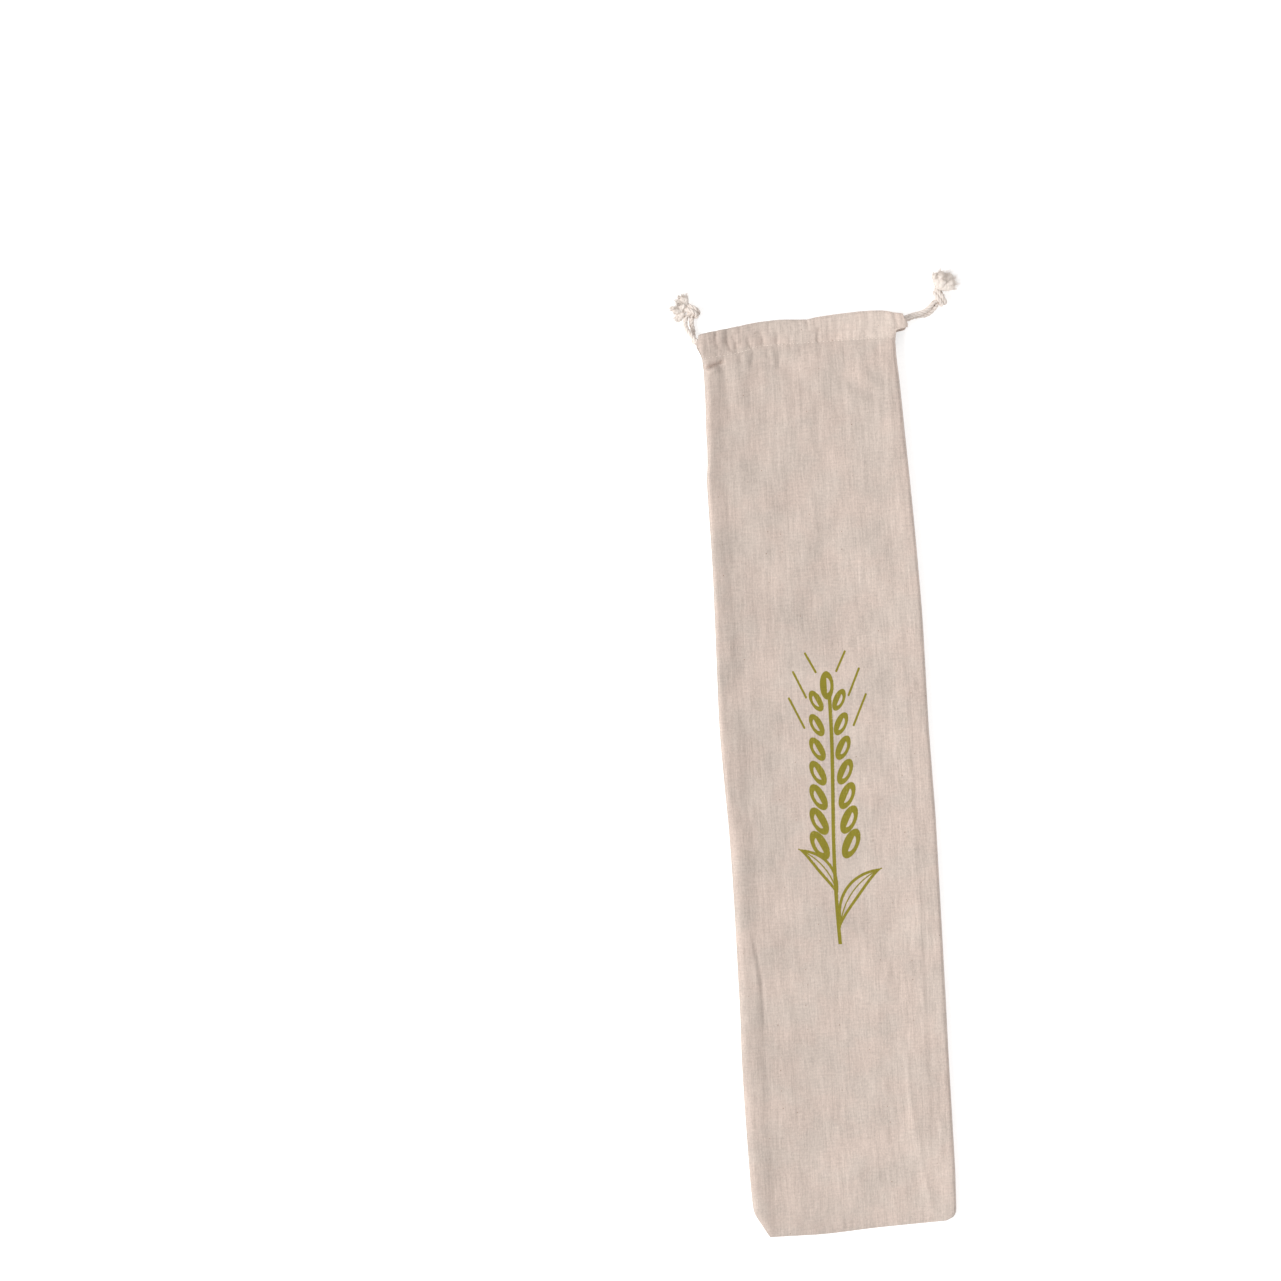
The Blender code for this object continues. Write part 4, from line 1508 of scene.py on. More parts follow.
@dataclass
class FrontPanel(Panel):
    """The printed side, with its casing folded inwards at the mouth."""

    relief: FrontRelief = field(default_factory=FrontRelief)
    dent_share: float = 0.12

    def lay(self) -> None:
        """Lists the rows from the bottom edge to the tail of the casing's hem."""
        form = self.form
        tail = form.stitch_y - form.hem_tail
        places = self.body_rows(
            ((-form.end_y, -331.0, 0.9), (-331.0, -310.0, 1.8), (-310.0, 235.0, 4.0), (235.0, 290.0, 1.5),
             (290.0, tail, 0.8))
        )
        self.rows = [Row(self.body, float(y), float(y)) for y in places]
        self.rows.append(Row(self.body, form.stitch_y - 1.5, form.stitch_y - 1.5))
        self.rows += self.casing_rows(24)

    def body(self, across: Array, y: float) -> Array:
        """The cloth under the stitch line.

        Args:
            across: Shares from left to right.
            y: Row along the bag.

        Returns:
            The row's points.
        """
        form = self.form
        x, slanted, side, bottom = form.body_place(across, y)
        width = form.roll_width + (form.mouth_roll_width - form.roll_width) * form.near_mouth(y)
        risen = form.rolled(side, width) * form.rolled(bottom, form.roll_width)
        height = form.edge_height + (read(form.crown, y, "height") - form.edge_height) * risen
        shown = form.rolled(side, form.roll_width) * form.rolled(bottom, form.roll_width)
        return stacked(x, slanted, height + self.relief.body(form, x, slanted) * shown)

    def outer(self, across: Array, share: float) -> Array:
        """The outer layer of the casing.

        Args:
            across: Shares from left to right.
            share: Share of the way to the mouth.

        Returns:
            The row's points.
        """
        form = self.form
        x, y, side = self.casing_layer(across, share)
        added = self.relief.casing(form, x, share) * form.rolled(side, form.roll_width)
        return stacked(x, y, form.casing_height(side, share) + added)

    def fold(self, across: Array, turn: float) -> Array:
        """The mouth's edge, from the outer layer at 0 degrees to the inner one at 180.

        Args:
            across: Shares from left to right.
            turn: Turn of the cloth, in degrees.

        Returns:
            The row's points.
        """
        form = self.form
        x, y, side, angle = self.edge_layer(across, turn)
        added = self.relief.casing(form, x, 1.0) * form.rolled(side, form.roll_width)
        added = added * (1.0 + math.cos(angle)) / 2.0
        middle = form.casing_height(side, 1.0) - form.fold_radius
        dent = -self.dent_share * math.sin(angle) * np.clip(self.relief.puff_height - added, 0.0, 2.0)
        return stacked(x, y + dent, middle + form.fold_radius * math.cos(angle) + added)

    def inner(self, across: Array, share: float) -> Array:
        """The turned-in layer of the casing."""
        x, y, side = self.casing_layer(across, share, self.form.hem_inset)
        return stacked(x, y, self.form.casing_height(side, share) - self.form.tunnel_depth(share))


@dataclass
class BackPanel(Panel):
    """The side that the bag lies on."""

    ripple: float = 0.3
    ripple_size: float = 7.0

    def lay(self) -> None:
        """Lists the rows from the bottom edge to the tail of the casing's hem."""
        form = self.form
        tail = form.stitch_y - form.hem_tail
        places = self.body_rows(
            ((-form.end_y, -331.0, 1.0), (-331.0, -310.0, 3.0), (-310.0, 280.0, 12.0), (280.0, tail, 4.0))
        )
        self.rows = [Row(self.body, float(y), float(y)) for y in places]
        self.rows += self.casing_rows(12)

    def body(self, across: Array, y: float) -> Array:
        """Flat on the table, its edges curling up to the seam.

        Args:
            across: Shares from left to right.
            y: Row along the bag.

        Returns:
            The row's points.
        """
        form = self.form
        x, slanted, side, bottom = form.body_place(across, y)
        curl = form.curl_height * float(smooth((form.stitch_y - form.hem_tail - y) / form.mouth_fade))
        flat = np.clip(np.minimum(side, bottom) / form.curl_width, 0.0, 1.0)
        return stacked(x, slanted, form.cloth / 2.0 + curl * (1.0 - flat) ** 2)

    def outer(self, across: Array, share: float) -> Array:
        """The outer layer of the casing, on the table."""
        x, y, _ = self.casing_layer(across, share)
        return stacked(x, y, np.array(self.form.cloth / 2.0))

    def fold(self, across: Array, turn: float) -> Array:
        """The mouth's edge, from the table at 0 degrees to the top at 180.

        Args:
            across: Shares from left to right.
            turn: Turn of the cloth, in degrees.

        Returns:
            The row's points.
        """
        x, y, _, angle = self.edge_layer(across, turn)
        height = self.form.cloth / 2.0 + self.form.fold_radius * (1.0 - math.cos(angle))
        return stacked(x, y, np.array(height))

    def inner(self, across: Array, share: float) -> Array:
        """The turned-in layer of the casing.

        Args:
            across: Shares from left to right.
            share: Share of the way to the mouth.

        Returns:
            The row's points.
        """
        form = self.form
        x, y, _ = self.casing_layer(across, share, form.hem_inset)
        ripples = self.ripple * speckle(x / self.ripple_size, np.full_like(x, share), 31.0)
        return stacked(x, y, form.cloth / 2.0 + form.tunnel_depth(share) + ripples * form.opened(share))


# ------------------------------------------------------------
# Sewing thread
# ------------------------------------------------------------


@dataclass
class StitchRow:
    """Stitches laid end to end along a seam."""

    stitch: float = 2.7
    gap_share: float = 0.14
    thickness: float = 0.95
    flatness: float = 0.7
    uneven: float = 0.10
    seed: int = 7

    def tree(self) -> ShapeTree:
        """A stitch on every step of the host's line."""
        tree = ShapeTree("stitch_row")
        step, length, thick, flat = (tree.size(n) for n in ("Step", "Length", "Thickness", "Flatness"))
        uneven, seed = tree.size("Uneven"), tree.size("Seed", "NodeSocketInt")
        inputs = {"Curve": tree.line(), "Length": step}
        dots = tree.node("GeometryNodeCurveToPoints", {"mode": "LENGTH"}, inputs)
        turn = Wire(tree, dots.socket.node.outputs["Rotation"])
        ball = tree.node("GeometryNodeMeshUVSphere", inputs={"Segments": 8, "Rings": 6, "Radius": 0.5})
        inputs = {"Min": 1.0 - uneven, "Max": 1.0 + uneven, "Seed": seed}
        vary = tree.node("FunctionNodeRandomValue", {"data_type": "FLOAT"}, inputs)
        size = tree.vector(thick * flat * vary, thick * vary, length * vary)
        inputs = {"Points": dots, "Instance": ball, "Rotation": turn, "Scale": size}
        tree.close(tree.node("GeometryNodeInstanceOnPoints", inputs=inputs))
        return tree

    def sew(self, name: str, line: Array, material: bpy.types.Material, tree: ShapeTree) -> bpy.types.Object:
        """Lays the stitches along a line.

        Args:
            name: Name of the piece.
            line: Points along the seam.
            material: The thread's finish.
            tree: The tree that lays them.

        Returns:
            The stitches as one piece.
        """
        values = {
            "Step": self.stitch * MM,
            "Length": self.stitch * (1.0 - self.gap_share) * MM,
            "Thickness": self.thickness * MM,
            "Flatness": self.flatness,
            "Uneven": self.uneven,
            "Seed": self.seed,
            "Material": material,
        }
        return tree.grow(name, polyline(name + "_line", [line]), values)


# ------------------------------------------------------------
# Cords, knots and frayed ends
# ------------------------------------------------------------


class RoutePoint(NamedTuple):
    """A point that a cord passes through."""

    x: float
    y: float
    z: float


def eased(points: Sequence[Sequence[float]], step: float, parts: int = 24) -> list[Vector]:
    """Evenly spaced places on a smooth curve.

    Args:
        points: Points that the curve passes through.
        step: Wanted spacing.
        parts: Steps from one point to the next before they are spaced evenly.

    Returns:
        The places.
    """
    held = [Vector(p) for p in (points[0], *points, points[-1])]
    held[0] = held[1] * 2.0 - held[2]
    held[-1] = held[-2] * 2.0 - held[-3]
    fine: list[Vector] = []
    for before, start, end, after in zip(held, held[1:], held[2:], held[3:]):
        for part in range(parts):
            t = part / parts
            bent = (2.0 * before - 5.0 * start + 4.0 * end - after) * t * t
            fine.append(0.5 * (2.0 * start + (end - before) * t + bent
                               + (3.0 * start - before - 3.0 * end + after) * t**3))
    fine.append(held[-2])
    steps = np.array([(end - start).length for start, end in zip(fine, fine[1:])])
    gone = np.concatenate(([0.0], np.cumsum(steps)))
    wanted = np.linspace(0.0, gone[-1], max(2, round(gone[-1] / step) + 1))
    axes = [np.interp(wanted, gone, [p[axis] for p in fine]) for axis in range(3)]
    return [Vector(place) for place in zip(*axes)]


def run_length(points: Sequence[Vector]) -> float:
    """Length of a run of points, in millimetres."""
    return sum((end - start).length for start, end in zip(points, points[1:]))


@dataclass(frozen=True)
class CordMaker:
    """Twists a cord of three plies along a line."""

    diameter: float = 3.2
    fullness: float = 1.12
    lay: float = 9.0
    plies: int = 3
    step: float = 0.7
    ply_offset: float = 0.255
    ply_radius: float = 0.262
    ply_sides: int = 9

    def tree(self) -> ShapeTree:
        """Three tubes that wind round the host's line."""
        tree = ShapeTree("twisted_cord")
        step, aside, radius, lay = (tree.size(n) for n in ("Step", "Ply Offset", "Ply Radius", "Lay"))
        inputs = {"Curve": tree.line(), "Length": step}
        line = tree.node("GeometryNodeResampleCurve", {"mode": "LENGTH"}, inputs)
        tangent, normal = tree.node("GeometryNodeInputTangent"), tree.node("GeometryNodeInputNormal")
        across = tangent.maths("CROSS_PRODUCT", tangent, normal)
        gone = tree.node("GeometryNodeSplineParameter", output="Length")
        ring = tree.ring(self.ply_sides, radius)
        around = tree.node("GeometryNodeSplineParameter", output="Factor")
        ring = self._stored(tree, ring, "around", around)
        joined = tree.tree.nodes.new("GeometryNodeJoinGeometry")
        for ply in range(self.plies):
            turn = gone / lay * math.tau + ply * math.tau / self.plies
            offset = (normal.scaled(turn.cos()) + across.scaled(turn.sin())).scaled(aside)
            wound = tree.node("GeometryNodeSetPosition", inputs={"Geometry": line, "Offset": offset})
            wound = self._stored(tree, wound, "along", gone)
            tree.tree.links.new(tree.tube(wound, ring).socket, joined.inputs[0])
        tree.close(Wire(tree, joined.outputs[0]))
        return tree

    @staticmethod
    def _stored(tree: ShapeTree, shape: Wire, name: str, value: Wire) -> Wire:
        """Keeps a value on the points of a curve.

        Args:
            tree: The tree.
            shape: The curve.
            name: Name of the value.
            value: The value.

        Returns:
            The curve.
        """
        settings = {"data_type": "FLOAT", "domain": "POINT"}
        inputs = {"Geometry": shape, "Name": name, "Value": value}
        return tree.node("GeometryNodeStoreNamedAttribute", settings, inputs)

    def twist(
        self, name: str, runs: Sequence[Sequence[Vector]], material: bpy.types.Material, tree: ShapeTree,
        thickness: float | None = None,
    ) -> bpy.types.Object:
        """Lays a cord along each run.

        Args:
            name: Name of the piece.
            runs: Centre lines.
            material: The cotton's finish.
            tree: The tree that twists it.
            thickness: Diameter, where it isn't the cord's own.

        Returns:
            The cords as one piece.
        """
        size = (thickness or self.diameter) * self.fullness
        values = {
            "Step": self.step * MM,
            "Ply Offset": size * self.ply_offset * MM,
            "Ply Radius": size * self.ply_radius * MM,
            "Lay": self.lay * MM,
            "Material": material,
        }
        return tree.grow(name, polyline(name + "_line", runs), values)


@dataclass(frozen=True)
class DrawstringRoute:
    """The free ends of one cord and its depth in its casing."""

    name: str
    node: str
    left: tuple[RoutePoint, ...]
    right: tuple[RoutePoint, ...]
    below_mouth: float
    in_front: bool
    sag: float = 0.7
    back_height: float = 3.0
    stops: tuple[float, ...] = (-77.0, -71.0, -63.0, -50.0, -34.0, -12.0, 12.0, 34.0, 50.0, 62.0, 70.0)

    def points(self, form: BagForm) -> list[RoutePoint]:
        """The route, from the left knot through the casing to the right knot.

        Args:
            form: The bag's form.

        Returns:
            The points.
        """
        inside = []
        for x in self.stops:
            y = float(read(form.mouth, x, "mouth")) - self.below_mouth
            height = self.back_height
            if self.in_front:
                top = float(form.casing_height(form.casing_end_x - abs(x), 1.0))
                height = top - form.fold_radius - self.sag
            inside.append(RoutePoint(x, y, height))
        return [*self.left, *inside, *self.right]


FRONT_ROUTE = DrawstringRoute(
    "front_cord",
    "drawstring_front",
    left=listed(RoutePoint, (
        (-83.9, 338.5, 5.6), (-84.8, 333.8, 5.0), (-83.6, 329.2, 5.8), (-81.2, 325.4, 7.4),
    )),
    right=listed(RoutePoint, (
        (76.0, 328.9, 9.8), (81.6, 330.7, 8.2), (86.6, 331.7, 7.3),
        (91.0, 333.7, 6.5), (94.4, 336.5, 6.3), (96.9, 339.2, 6.4),
    )),
    below_mouth=4.4,
    in_front=True,
)
BACK_ROUTE = DrawstringRoute(
    "back_cord",
    "drawstring_back",
    left=listed(RoutePoint, (
        (-79.7, 338.2, 4.5), (-80.2, 333.6, 2.9), (-79.3, 329.4, 2.3),
        (-79.3, 325.2, 2.3), (-79.5, 321.6, 2.6),
    )),
    right=listed(RoutePoint, (
        (76.0, 327.8, 3.0), (81.6, 329.8, 2.6), (86.6, 330.6, 2.2),
        (91.0, 330.7, 2.1), (94.6, 332.6, 2.5), (98.6, 336.7, 4.4),
    )),
    below_mouth=5.4,
    in_front=False,
)


class Puff(NamedTuple):
    """One ply's untwisted end: the way that it leaves the tuft's heading, its length and its girth."""

    lean_deg: float
    lift: float
    length: float
    girth: float


def heading(degrees: float) -> Vector:
    """A level unit vector, turned from +X."""
    turn = math.radians(degrees)
    return Vector((math.cos(turn), math.sin(turn), 0.0))


def beside(way: Vector) -> Vector:
    """A level vector, a quarter turn to the left of another."""
    return Vector((-way.y, way.x, 0.0))


@dataclass(frozen=True)
class KnotForm:
    """One overhand knot of the two cords, with its cut ends frayed."""

    name: str
    node: str
    middle: tuple[float, float, float]
    heading_deg: float
    tuft_heading_deg: float
    roll_deg: float
    seed: int
    puffs: tuple[Puff, ...]
    half_size: float = 3.5
    stretch: float = 1.0
    flatness: float = 0.74
    strand: float = 3.0
    strand_aside: float = 1.35
    tuft_root: float = 5.6
    tuft_aside: float = 0.0
    cut_ahead: float = 1.4
    cut_aside: float = 1.7

    def frame(self) -> tuple[Vector, Vector, Vector]:
        """Unit vectors along the knot, across it and up through it."""
        roll = math.radians(self.roll_deg)
        along = heading(self.heading_deg)
        side = beside(along)
        return along, side * math.cos(roll) + UP * math.sin(roll), UP * math.cos(roll) - side * math.sin(roll)

    def centre_line(self) -> list[Vector]:
        """An overhand knot pulled tight, as a curve through its loop."""
        along, side, up = self.frame()
        middle = Vector(self.middle)
        points = []
        # The open trefoil: a goes along, b across and c up, each scaled to about 1
        for step in range(-19, 20):
            t = step * 0.1
            a = (t**5 - 10.0 * t) / 9.51
            b = (t**3 - 3.0 * t) / 2.0
            c = (t**4 - 4.0 * t * t + 2.0) / 2.0 * self.flatness
            points.append(middle + (along * (a * self.stretch) + side * b + up * c) * self.half_size)
        return points

    def strands(self, ends: Sequence[Vector]) -> list[list[Vector]]:
        """The two cords, side by side through the knot.

        Args:
            ends: Where each cord comes in.

        Returns:
            Their centre lines.
        """
        line = self.centre_line()
        middle = Vector(self.middle)
        tuft = self.tuft_way(0.0, 0.0)
        left = beside(tuft)
        root = self.tuft_base()
        runs = []
        for number, end in enumerate(ends):
            sign = 1.0 if number else -1.0
            run = [end]
            for before, here, after in zip(line, line[1:], line[2:]):
                aside = (after - before).cross(here - middle)
                aside = aside.normalized() if aside.length > 1e-6 else UP
                run.append(here + aside * (sign * self.strand_aside))
            run.append(root - tuft + left * sign)
            run.append(root + tuft * self.cut_ahead + left * (sign * self.cut_aside))
            runs.append(eased(run, 0.6, 8))
        return runs

    def tuft_base(self) -> Vector:
        """Where the cut ends leave the knot."""
        ahead = self.tuft_way(0.0, 0.0)
        return Vector(self.middle) + ahead * self.tuft_root + beside(ahead) * self.tuft_aside

    def tuft_way(self, lean: float, turn: float) -> Vector:
        """A direction in the tuft, leaning off its heading by an angle, turned about it.

        Args:
            lean: Angle off the heading, in radians.
            turn: Turn about the heading, in radians.

        Returns:
            A unit vector.
        """
        ahead = heading(self.tuft_heading_deg)
        aside = beside(ahead) * math.cos(turn) + UP * math.sin(turn)
        return (ahead * math.cos(lean) + aside * math.sin(lean)).normalized()


@dataclass(frozen=True)
class FrayedEnd:
    """The cut ends of the cords, untwisted into soft puffs with loose fibres all round."""

    fibres_per_puff: int = 300
    fibre: float = 0.055
    points: int = 9
    floor: float = 0.2
    taper: float = 0.7
    puff_points: int = 26
    puff_sides: int = 14
    puff_bend: float = 0.16
    swell_until: float = 0.5
    round_from: float = 0.7
    round_over: float = 0.302
    round_power: float = 2.4
    lump_height: float = 0.8
    lumps_per_mm: float = 0.62
    curl: float = 0.28

    def fibre_tree(self) -> ShapeTree:
        """A thin tapered tube along every run of the host."""
        tree = ShapeTree("frayed_fibres")
        radius = tree.size("Fibre Radius")
        line = tree.line()
        share = tree.node("GeometryNodeSplineParameter", output="Factor")
        tree.close(tree.tube(line, tree.ring(3, radius), 1.0 - self.taper * share * share))
        return tree

    def puff_tree(self) -> ShapeTree:
        """A soft lumpy body along every run, thin at its root and full towards its rounded end."""
        tree = ShapeTree("frayed_puffs")
        lump, seed = tree.size("Lump Height"), tree.size("Seed", "NodeSocketInt")
        line = tree.line()
        share = tree.node("GeometryNodeSplineParameter", output="Factor")
        girth = tree.node("GeometryNodeInputNamedAttribute", {"data_type": "FLOAT"}, {"Name": "girth"})
        swell = 0.5 + 0.5 * share.ramp_up(0.0, self.swell_until)
        past = ((share - self.round_from) / self.round_over).most(0.0)
        rounded = (1.0 - past**self.round_power).most(0.0).root()
        tube = tree.tube(line, tree.ring(self.puff_sides, MM), girth * swell * rounded)
        place = tree.node("GeometryNodeInputPosition")
        settings = {"noise_dimensions": "4D", "normalize": False}
        inputs = {"Vector": place, "W": seed, "Scale": self.lumps_per_mm / MM, "Detail": 2.0}
        lumpy = tree.node("ShaderNodeTexNoise", settings, inputs)
        out = tree.node("GeometryNodeInputNormal").scaled(lumpy * lump)
        tree.close(tree.node("GeometryNodeSetPosition", inputs={"Geometry": tube, "Offset": out}))
        return tree

    def puffs(self, knot: KnotForm) -> list[tuple[list[Vector], float]]:
        """Centre lines and girths of the puffs.

        Args:
            knot: The knot that they grow from.

        Returns:
            A run of points and a girth for each puff.
        """
        draw = random.Random(knot.seed)
        base = knot.tuft_base()
        found = []
        for puff in knot.puffs:
            lean = math.radians(puff.lean_deg)
            side = 0.0 if lean >= 0.0 else math.pi
            way = (knot.tuft_way(abs(lean), side) + UP * puff.lift).normalized()
            bend = Vector([draw.uniform(-1.0, 1.0) for _ in range(3)]) * self.puff_bend
            run = []
            for number in range(self.puff_points):
                gone = number / (self.puff_points - 1) * puff.length
                place = base + way * gone + bend * (gone * gone / puff.length)
                place.z = max(place.z, self.floor + puff.girth * 0.85 * min(1.0, gone / puff.length + 0.4))
                run.append(place)
            found.append((run, puff.girth))
        return found

    def fibres(self, knot: KnotForm, puffs: Sequence[tuple[list[Vector], float]]) -> list[list[Vector]]:
        """Centre lines of the fibres.

        Args:
            knot: The knot, for its seed.
            puffs: Centre lines and girths of the puffs.

        Returns:
            One run of points for each fibre.
        """
        draw = random.Random(knot.seed + 100)
        runs = []
        for line, girth in puffs:
            for _ in range(self.fibres_per_puff):
                share = draw.uniform(0.05, 0.95)
                at = share * (len(line) - 1)
                root = line[int(at)].lerp(line[min(int(at) + 1, len(line) - 1)], at - int(at))
                ahead = (line[min(int(at) + 2, len(line) - 1)] - line[max(int(at) - 1, 0)]).normalized()
                out = Vector([draw.gauss(0.0, 1.0) for _ in range(3)]).normalized()
                out = (out - ahead * out.dot(ahead)).normalized()
                runs.append(self._fibre(draw, root, ahead, out, girth, share))
        return runs

    def _fibre(
        self, draw: random.Random, root: Vector, ahead: Vector, out: Vector, girth: float, share: float
    ) -> list[Vector]:
        """One fibre, which lies along its puff at first and then stands off it.

        Args:
            draw: Where its random numbers come from.
            root: Where it starts on the puff's centre line.
            ahead: The puff's way there.
            out: Way off the puff.
            girth: The puff's girth.
            share: How far along the puff it starts.

        Returns:
            Its points.
        """
        length = girth * draw.uniform(0.8, 1.9)
        start = root + out * (girth * draw.uniform(0.5, 0.95) * (0.45 + 0.55 * min(1.0, share / 0.6)))
        rise = draw.uniform(0.05, 0.55)
        curl = Vector([draw.gauss(0.0, 1.0) for _ in range(3)])
        phase, turns = draw.uniform(0.0, math.tau), draw.uniform(2.0, 5.5)
        run = []
        for number in range(self.points):
            t = number / (self.points - 1)
            place = start + ahead * (length * t) + out * (length * rise * t * t)
            place = place + curl * (self.curl * t * math.sin(phase + turns * t))
            place.z = max(place.z, self.floor)
            run.append(place)
        return run


# ------------------------------------------------------------
# The set
# ------------------------------------------------------------


@dataclass(frozen=True)
class Studio:
    """Camera straight above, soft light from the left, and a white table."""

    camera_place: tuple[float, float, float] = (-0.1301, 0.1048, 1.8226)
    camera_turn_deg: float = -3.164
    lens: float = 70.0
    table_size: float = 8.0
    table_z: float = -0.0002
    world_strength: float = 0.76
    key_place: tuple[float, float, float] = (-2.3, -0.3, 2.2)
    key_size: float = 1.4
    key_power: float = 81.0

    def build(self) -> None:
        """Makes the camera, the lights and the table."""
        scene = bpy.context.scene
        camera = in_scene("camera", bpy.data.cameras.new("camera"))
        camera.data.lens = self.lens
        camera.location = self.camera_place
        camera.rotation_euler = (0.0, 0.0, math.radians(self.camera_turn_deg))
        scene.camera = camera
        scene.view_settings.view_transform = "Standard"
        key = in_scene("key_light", bpy.data.lights.new("key_light", "AREA"))
        key.data.size = self.key_size
        key.data.energy = self.key_power
        key.location = self.key_place
        key.rotation_euler = (-Vector(self.key_place)).to_track_quat("-Z", "Y").to_euler()
        scene.world = bpy.data.worlds.new("studio")
        scene.world.use_nodes = True
        background = scene.world.node_tree.nodes["Background"]
        background.inputs["Color"].default_value = (1.0, 1.0, 1.0, 1.0)
        background.inputs["Strength"].default_value = self.world_strength
        half = self.table_size / 2.0
        corners = [(x * half, y * half, self.table_z) for x, y in ((-1, -1), (1, -1), (1, 1), (-1, 1))]
        mesh = bpy.data.meshes.new("table")
        mesh.from_pydata(corners, [], [(0, 1, 2, 3)])
        mesh.materials.append(TableFinish().material())
        table = in_scene("table", mesh)


RIGHT_KNOT = KnotForm(
    "right_knot",
    "knot_right",
    middle=(101.6, 343.1, 5.6),
    heading_deg=75.0,
    tuft_heading_deg=72.0,
    roll_deg=-15.0,
    seed=5,
    puffs=listed(Puff, (
        (27.0, 0.00, 11.0, 2.7), (6.0, 0.14, 11.6, 2.9), (-14.0, 0.02, 11.8, 3.2),
        (-32.0, 0.06, 13.4, 3.5), (-46.0, 0.02, 14.4, 3.4), (-56.0, 0.10, 12.6, 2.8),
        (-26.0, 0.24, 8.4, 3.2), (10.0, 0.26, 8.2, 3.0),
    )),
    stretch=1.22,
    tuft_root=5.0,
    tuft_aside=2.6,
)
LEFT_KNOT = KnotForm(
    "left_knot",
    "knot_left",
    middle=(-78.7, 342.9, 5.6),
    heading_deg=95.0,
    tuft_heading_deg=162.0,
    roll_deg=20.0,
    seed=11,
    puffs=listed(Puff, (
        (-70.0, 0.06, 9.6, 2.4), (-54.0, 0.20, 9.8, 2.5), (-36.0, 0.02, 8.6, 2.5),
        (-8.0, 0.24, 7.0, 2.6), (20.0, 0.04, 10.4, 2.0), (40.0, 0.16, 8.6, 2.2),
        (60.0, 0.02, 11.0, 2.2), (76.0, 0.10, 10.4, 2.0), (-30.0, 0.50, 6.0, 2.6),
    )),
    tuft_root=5.2,
)


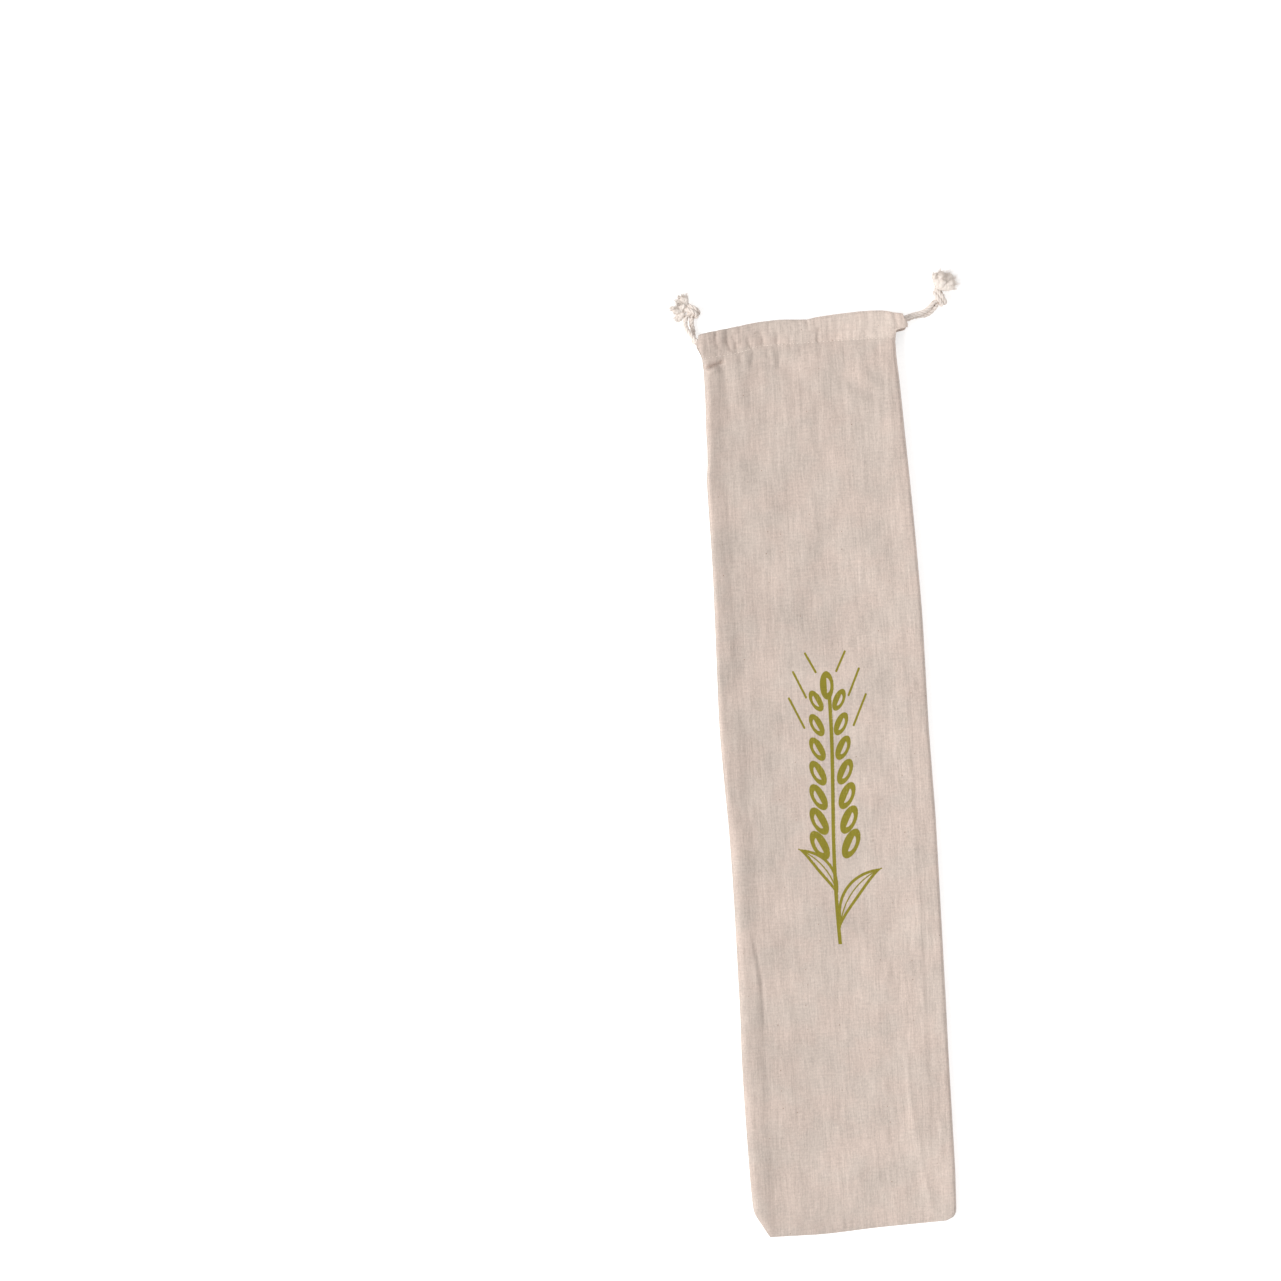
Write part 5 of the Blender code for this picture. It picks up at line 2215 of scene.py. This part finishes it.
@dataclass
class BreadBag:
    """The whole bag: two panels, their sewing, two cords and two knots."""

    form: BagForm = field(default_factory=BagForm)
    cords: CordMaker = field(default_factory=CordMaker)
    fraying: FrayedEnd = field(default_factory=FrayedEnd)
    stitching: StitchRow = field(default_factory=StitchRow)
    left_knot: KnotForm = LEFT_KNOT
    right_knot: KnotForm = RIGHT_KNOT
    cut_width_m: float = 0.156
    edge_columns: tuple[float, ...] = (0.0, 0.004, 0.009, 0.016, 0.025, 0.036)
    stitched: tuple[float, float] = (0.004, 0.996)
    line_points: int = 160
    stitch_lift: float = 0.12

    def build(self) -> None:
        cotton = CORD.material()
        drawstrings = self._drawstrings(cotton)
        self._sewing(self._panels())
        knots = [self._knot(knot, cotton) for knot in (self.left_knot, self.right_knot)]
        for number, (piece, path, route) in enumerate(drawstrings):
            tuple(value * MM for value in path[self._leaves(path)])
            run_length(path) * MM
            [tuple(value * MM for value in point) for point in path]
            [part for knot in knots for part in knot] if number == 0 else ()
            start = [round(value, 1) for value in path[0]]
            LOG.info("%s: %.0f mm long, from %s", route.name, run_length(path), start)

    def _leaves(self, path: Sequence[Vector]) -> int:
        """Number of the point where a cord, followed from its left knot, meets the casing."""
        return next(number for number, point in enumerate(path) if point.x > -self.form.casing_end_x)

    def _drawstrings(
        self, cotton: bpy.types.Material
    ) -> list[tuple[bpy.types.Object, list[Vector], DrawstringRoute]]:
        """Twists both cords.

        Args:
            cotton: The cords' finish.

        Returns:
            Each cord's piece, path and route.
        """
        tree = self.cords.tree()
        found = []
        for route in (FRONT_ROUTE, BACK_ROUTE):
            path = eased(route.points(self.form), 2.0)
            piece = self.cords.twist(route.name, [path], cotton, tree)
            fit(piece, "cotton", route.node)
            found.append((piece, path, route))
        return found

    def _panels(self) -> FrontPanel:
        """Lays both panels, and hands on the front one for its sewing."""
        plain = LinenFinish("linen_plain").material()
        printed = LinenFinish("linen_printed", motif=WheatMotif()).material()
        form, edge = self.form, self.edge_columns
        front = FrontPanel(
            form, "front_cloth", "front_panel", turn_up=False, columns=spread(128, edge),
            edge_inset=form.front_edge_inset, seam_slope_deg=55.0,
        )
        back = BackPanel(
            form, "back_cloth", "back_panel", turn_up=True, columns=spread(44, edge),
            edge_inset=form.back_edge_inset, seam_slope_deg=20.0, flat_shift=400.0,
        )
        for panel, materials in ((front, (printed, plain)), (back, (plain,))):
            panel.lay()
            piece = panel.build(materials)
            fit(piece, "linen", panel.node)
            flat = (self.cut_width_m, round((panel.rows[-1].along - panel.rows[0].along) * MM, 3))
            LOG.info("%s: cut to %s m, %d faces", piece.name, flat, len(piece.data.polygons))
        return front

    def _sewing(self, front: FrontPanel) -> None:
        """Sews the front casing along its stitch line.

        Args:
            front: The front panel.
        """
        thread = THREAD.material()
        tree = self.stitching.tree()
        top = front.outer(np.linspace(*self.stitched, self.line_points), 0.0)
        top[:, 2] += self.form.cloth / 2.0 + self.stitch_lift
        piece = self.stitching.sew("front_casing_stitches", top, thread, tree)
        fit(piece, "linen")
        LOG.info("%s: %d faces", piece.name, len(piece.data.polygons))

    def _knot(self, knot: KnotForm, cotton: bpy.types.Material) -> list[bpy.types.Object]:
        """Ties one knot and frays its ends.

        Args:
            knot: The knot.
            cotton: The cords' finish.

        Returns:
            Its strands, puffs and fibres.
        """
        side = 0 if knot is self.left_knot else -1
        ends = [Vector(route.points(self.form)[side]) for route in (FRONT_ROUTE, BACK_ROUTE)]
        tree = self.cords.tree()
        tied = self.cords.twist(knot.name, knot.strands(ends), cotton, tree, knot.strand)
        fit(tied, "cotton", knot.node)
        puffs = self.fraying.puffs(knot)
        host = polyline(knot.name + "_puff_line", [line for line, _ in puffs])
        girths = host.data.attributes.new("girth", "FLOAT", "POINT")
        girths.data.foreach_set("value", [girth for line, girth in puffs for _ in line])
        fluffy = bpy.data.materials.get(FLUFF.name) or FLUFF.material()
        values = {"Lump Height": self.fraying.lump_height * MM, "Seed": knot.seed, "Material": fluffy}
        soft = self.fraying.puff_tree().grow(knot.name + "_puffs", host, values)
        lines = polyline(knot.name + "_fibre_line", self.fraying.fibres(knot, puffs))
        values = {"Fibre Radius": self.fraying.fibre * MM, "Material": fluffy}
        loose = self.fraying.fibre_tree().grow(knot.name + "_fibres", lines, values)
        for piece in (soft, loose):
            fit(piece, "cotton")
        pieces = [tied, soft, loose]
        LOG.info("%s: %s faces", knot.name, [len(piece.data.polygons) for piece in pieces])
        return pieces


def fit(piece: bpy.types.Object, slot: str, *nodes: str) -> None:
    """Joins a piece to the part.

    Args:
        piece: The finished piece.
        slot: The record's material slot; not used.
        nodes: Nodes that it stands for.
    """
    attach(piece, BODY)
    if nodes:
        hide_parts(*nodes)


def main() -> None:
    """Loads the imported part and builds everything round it."""
    logging.basicConfig(level=logging.INFO, format="%(name)s: %(message)s")
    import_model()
    Studio().build()
    BreadBag().build()


if __name__ == "__main__":
    main()
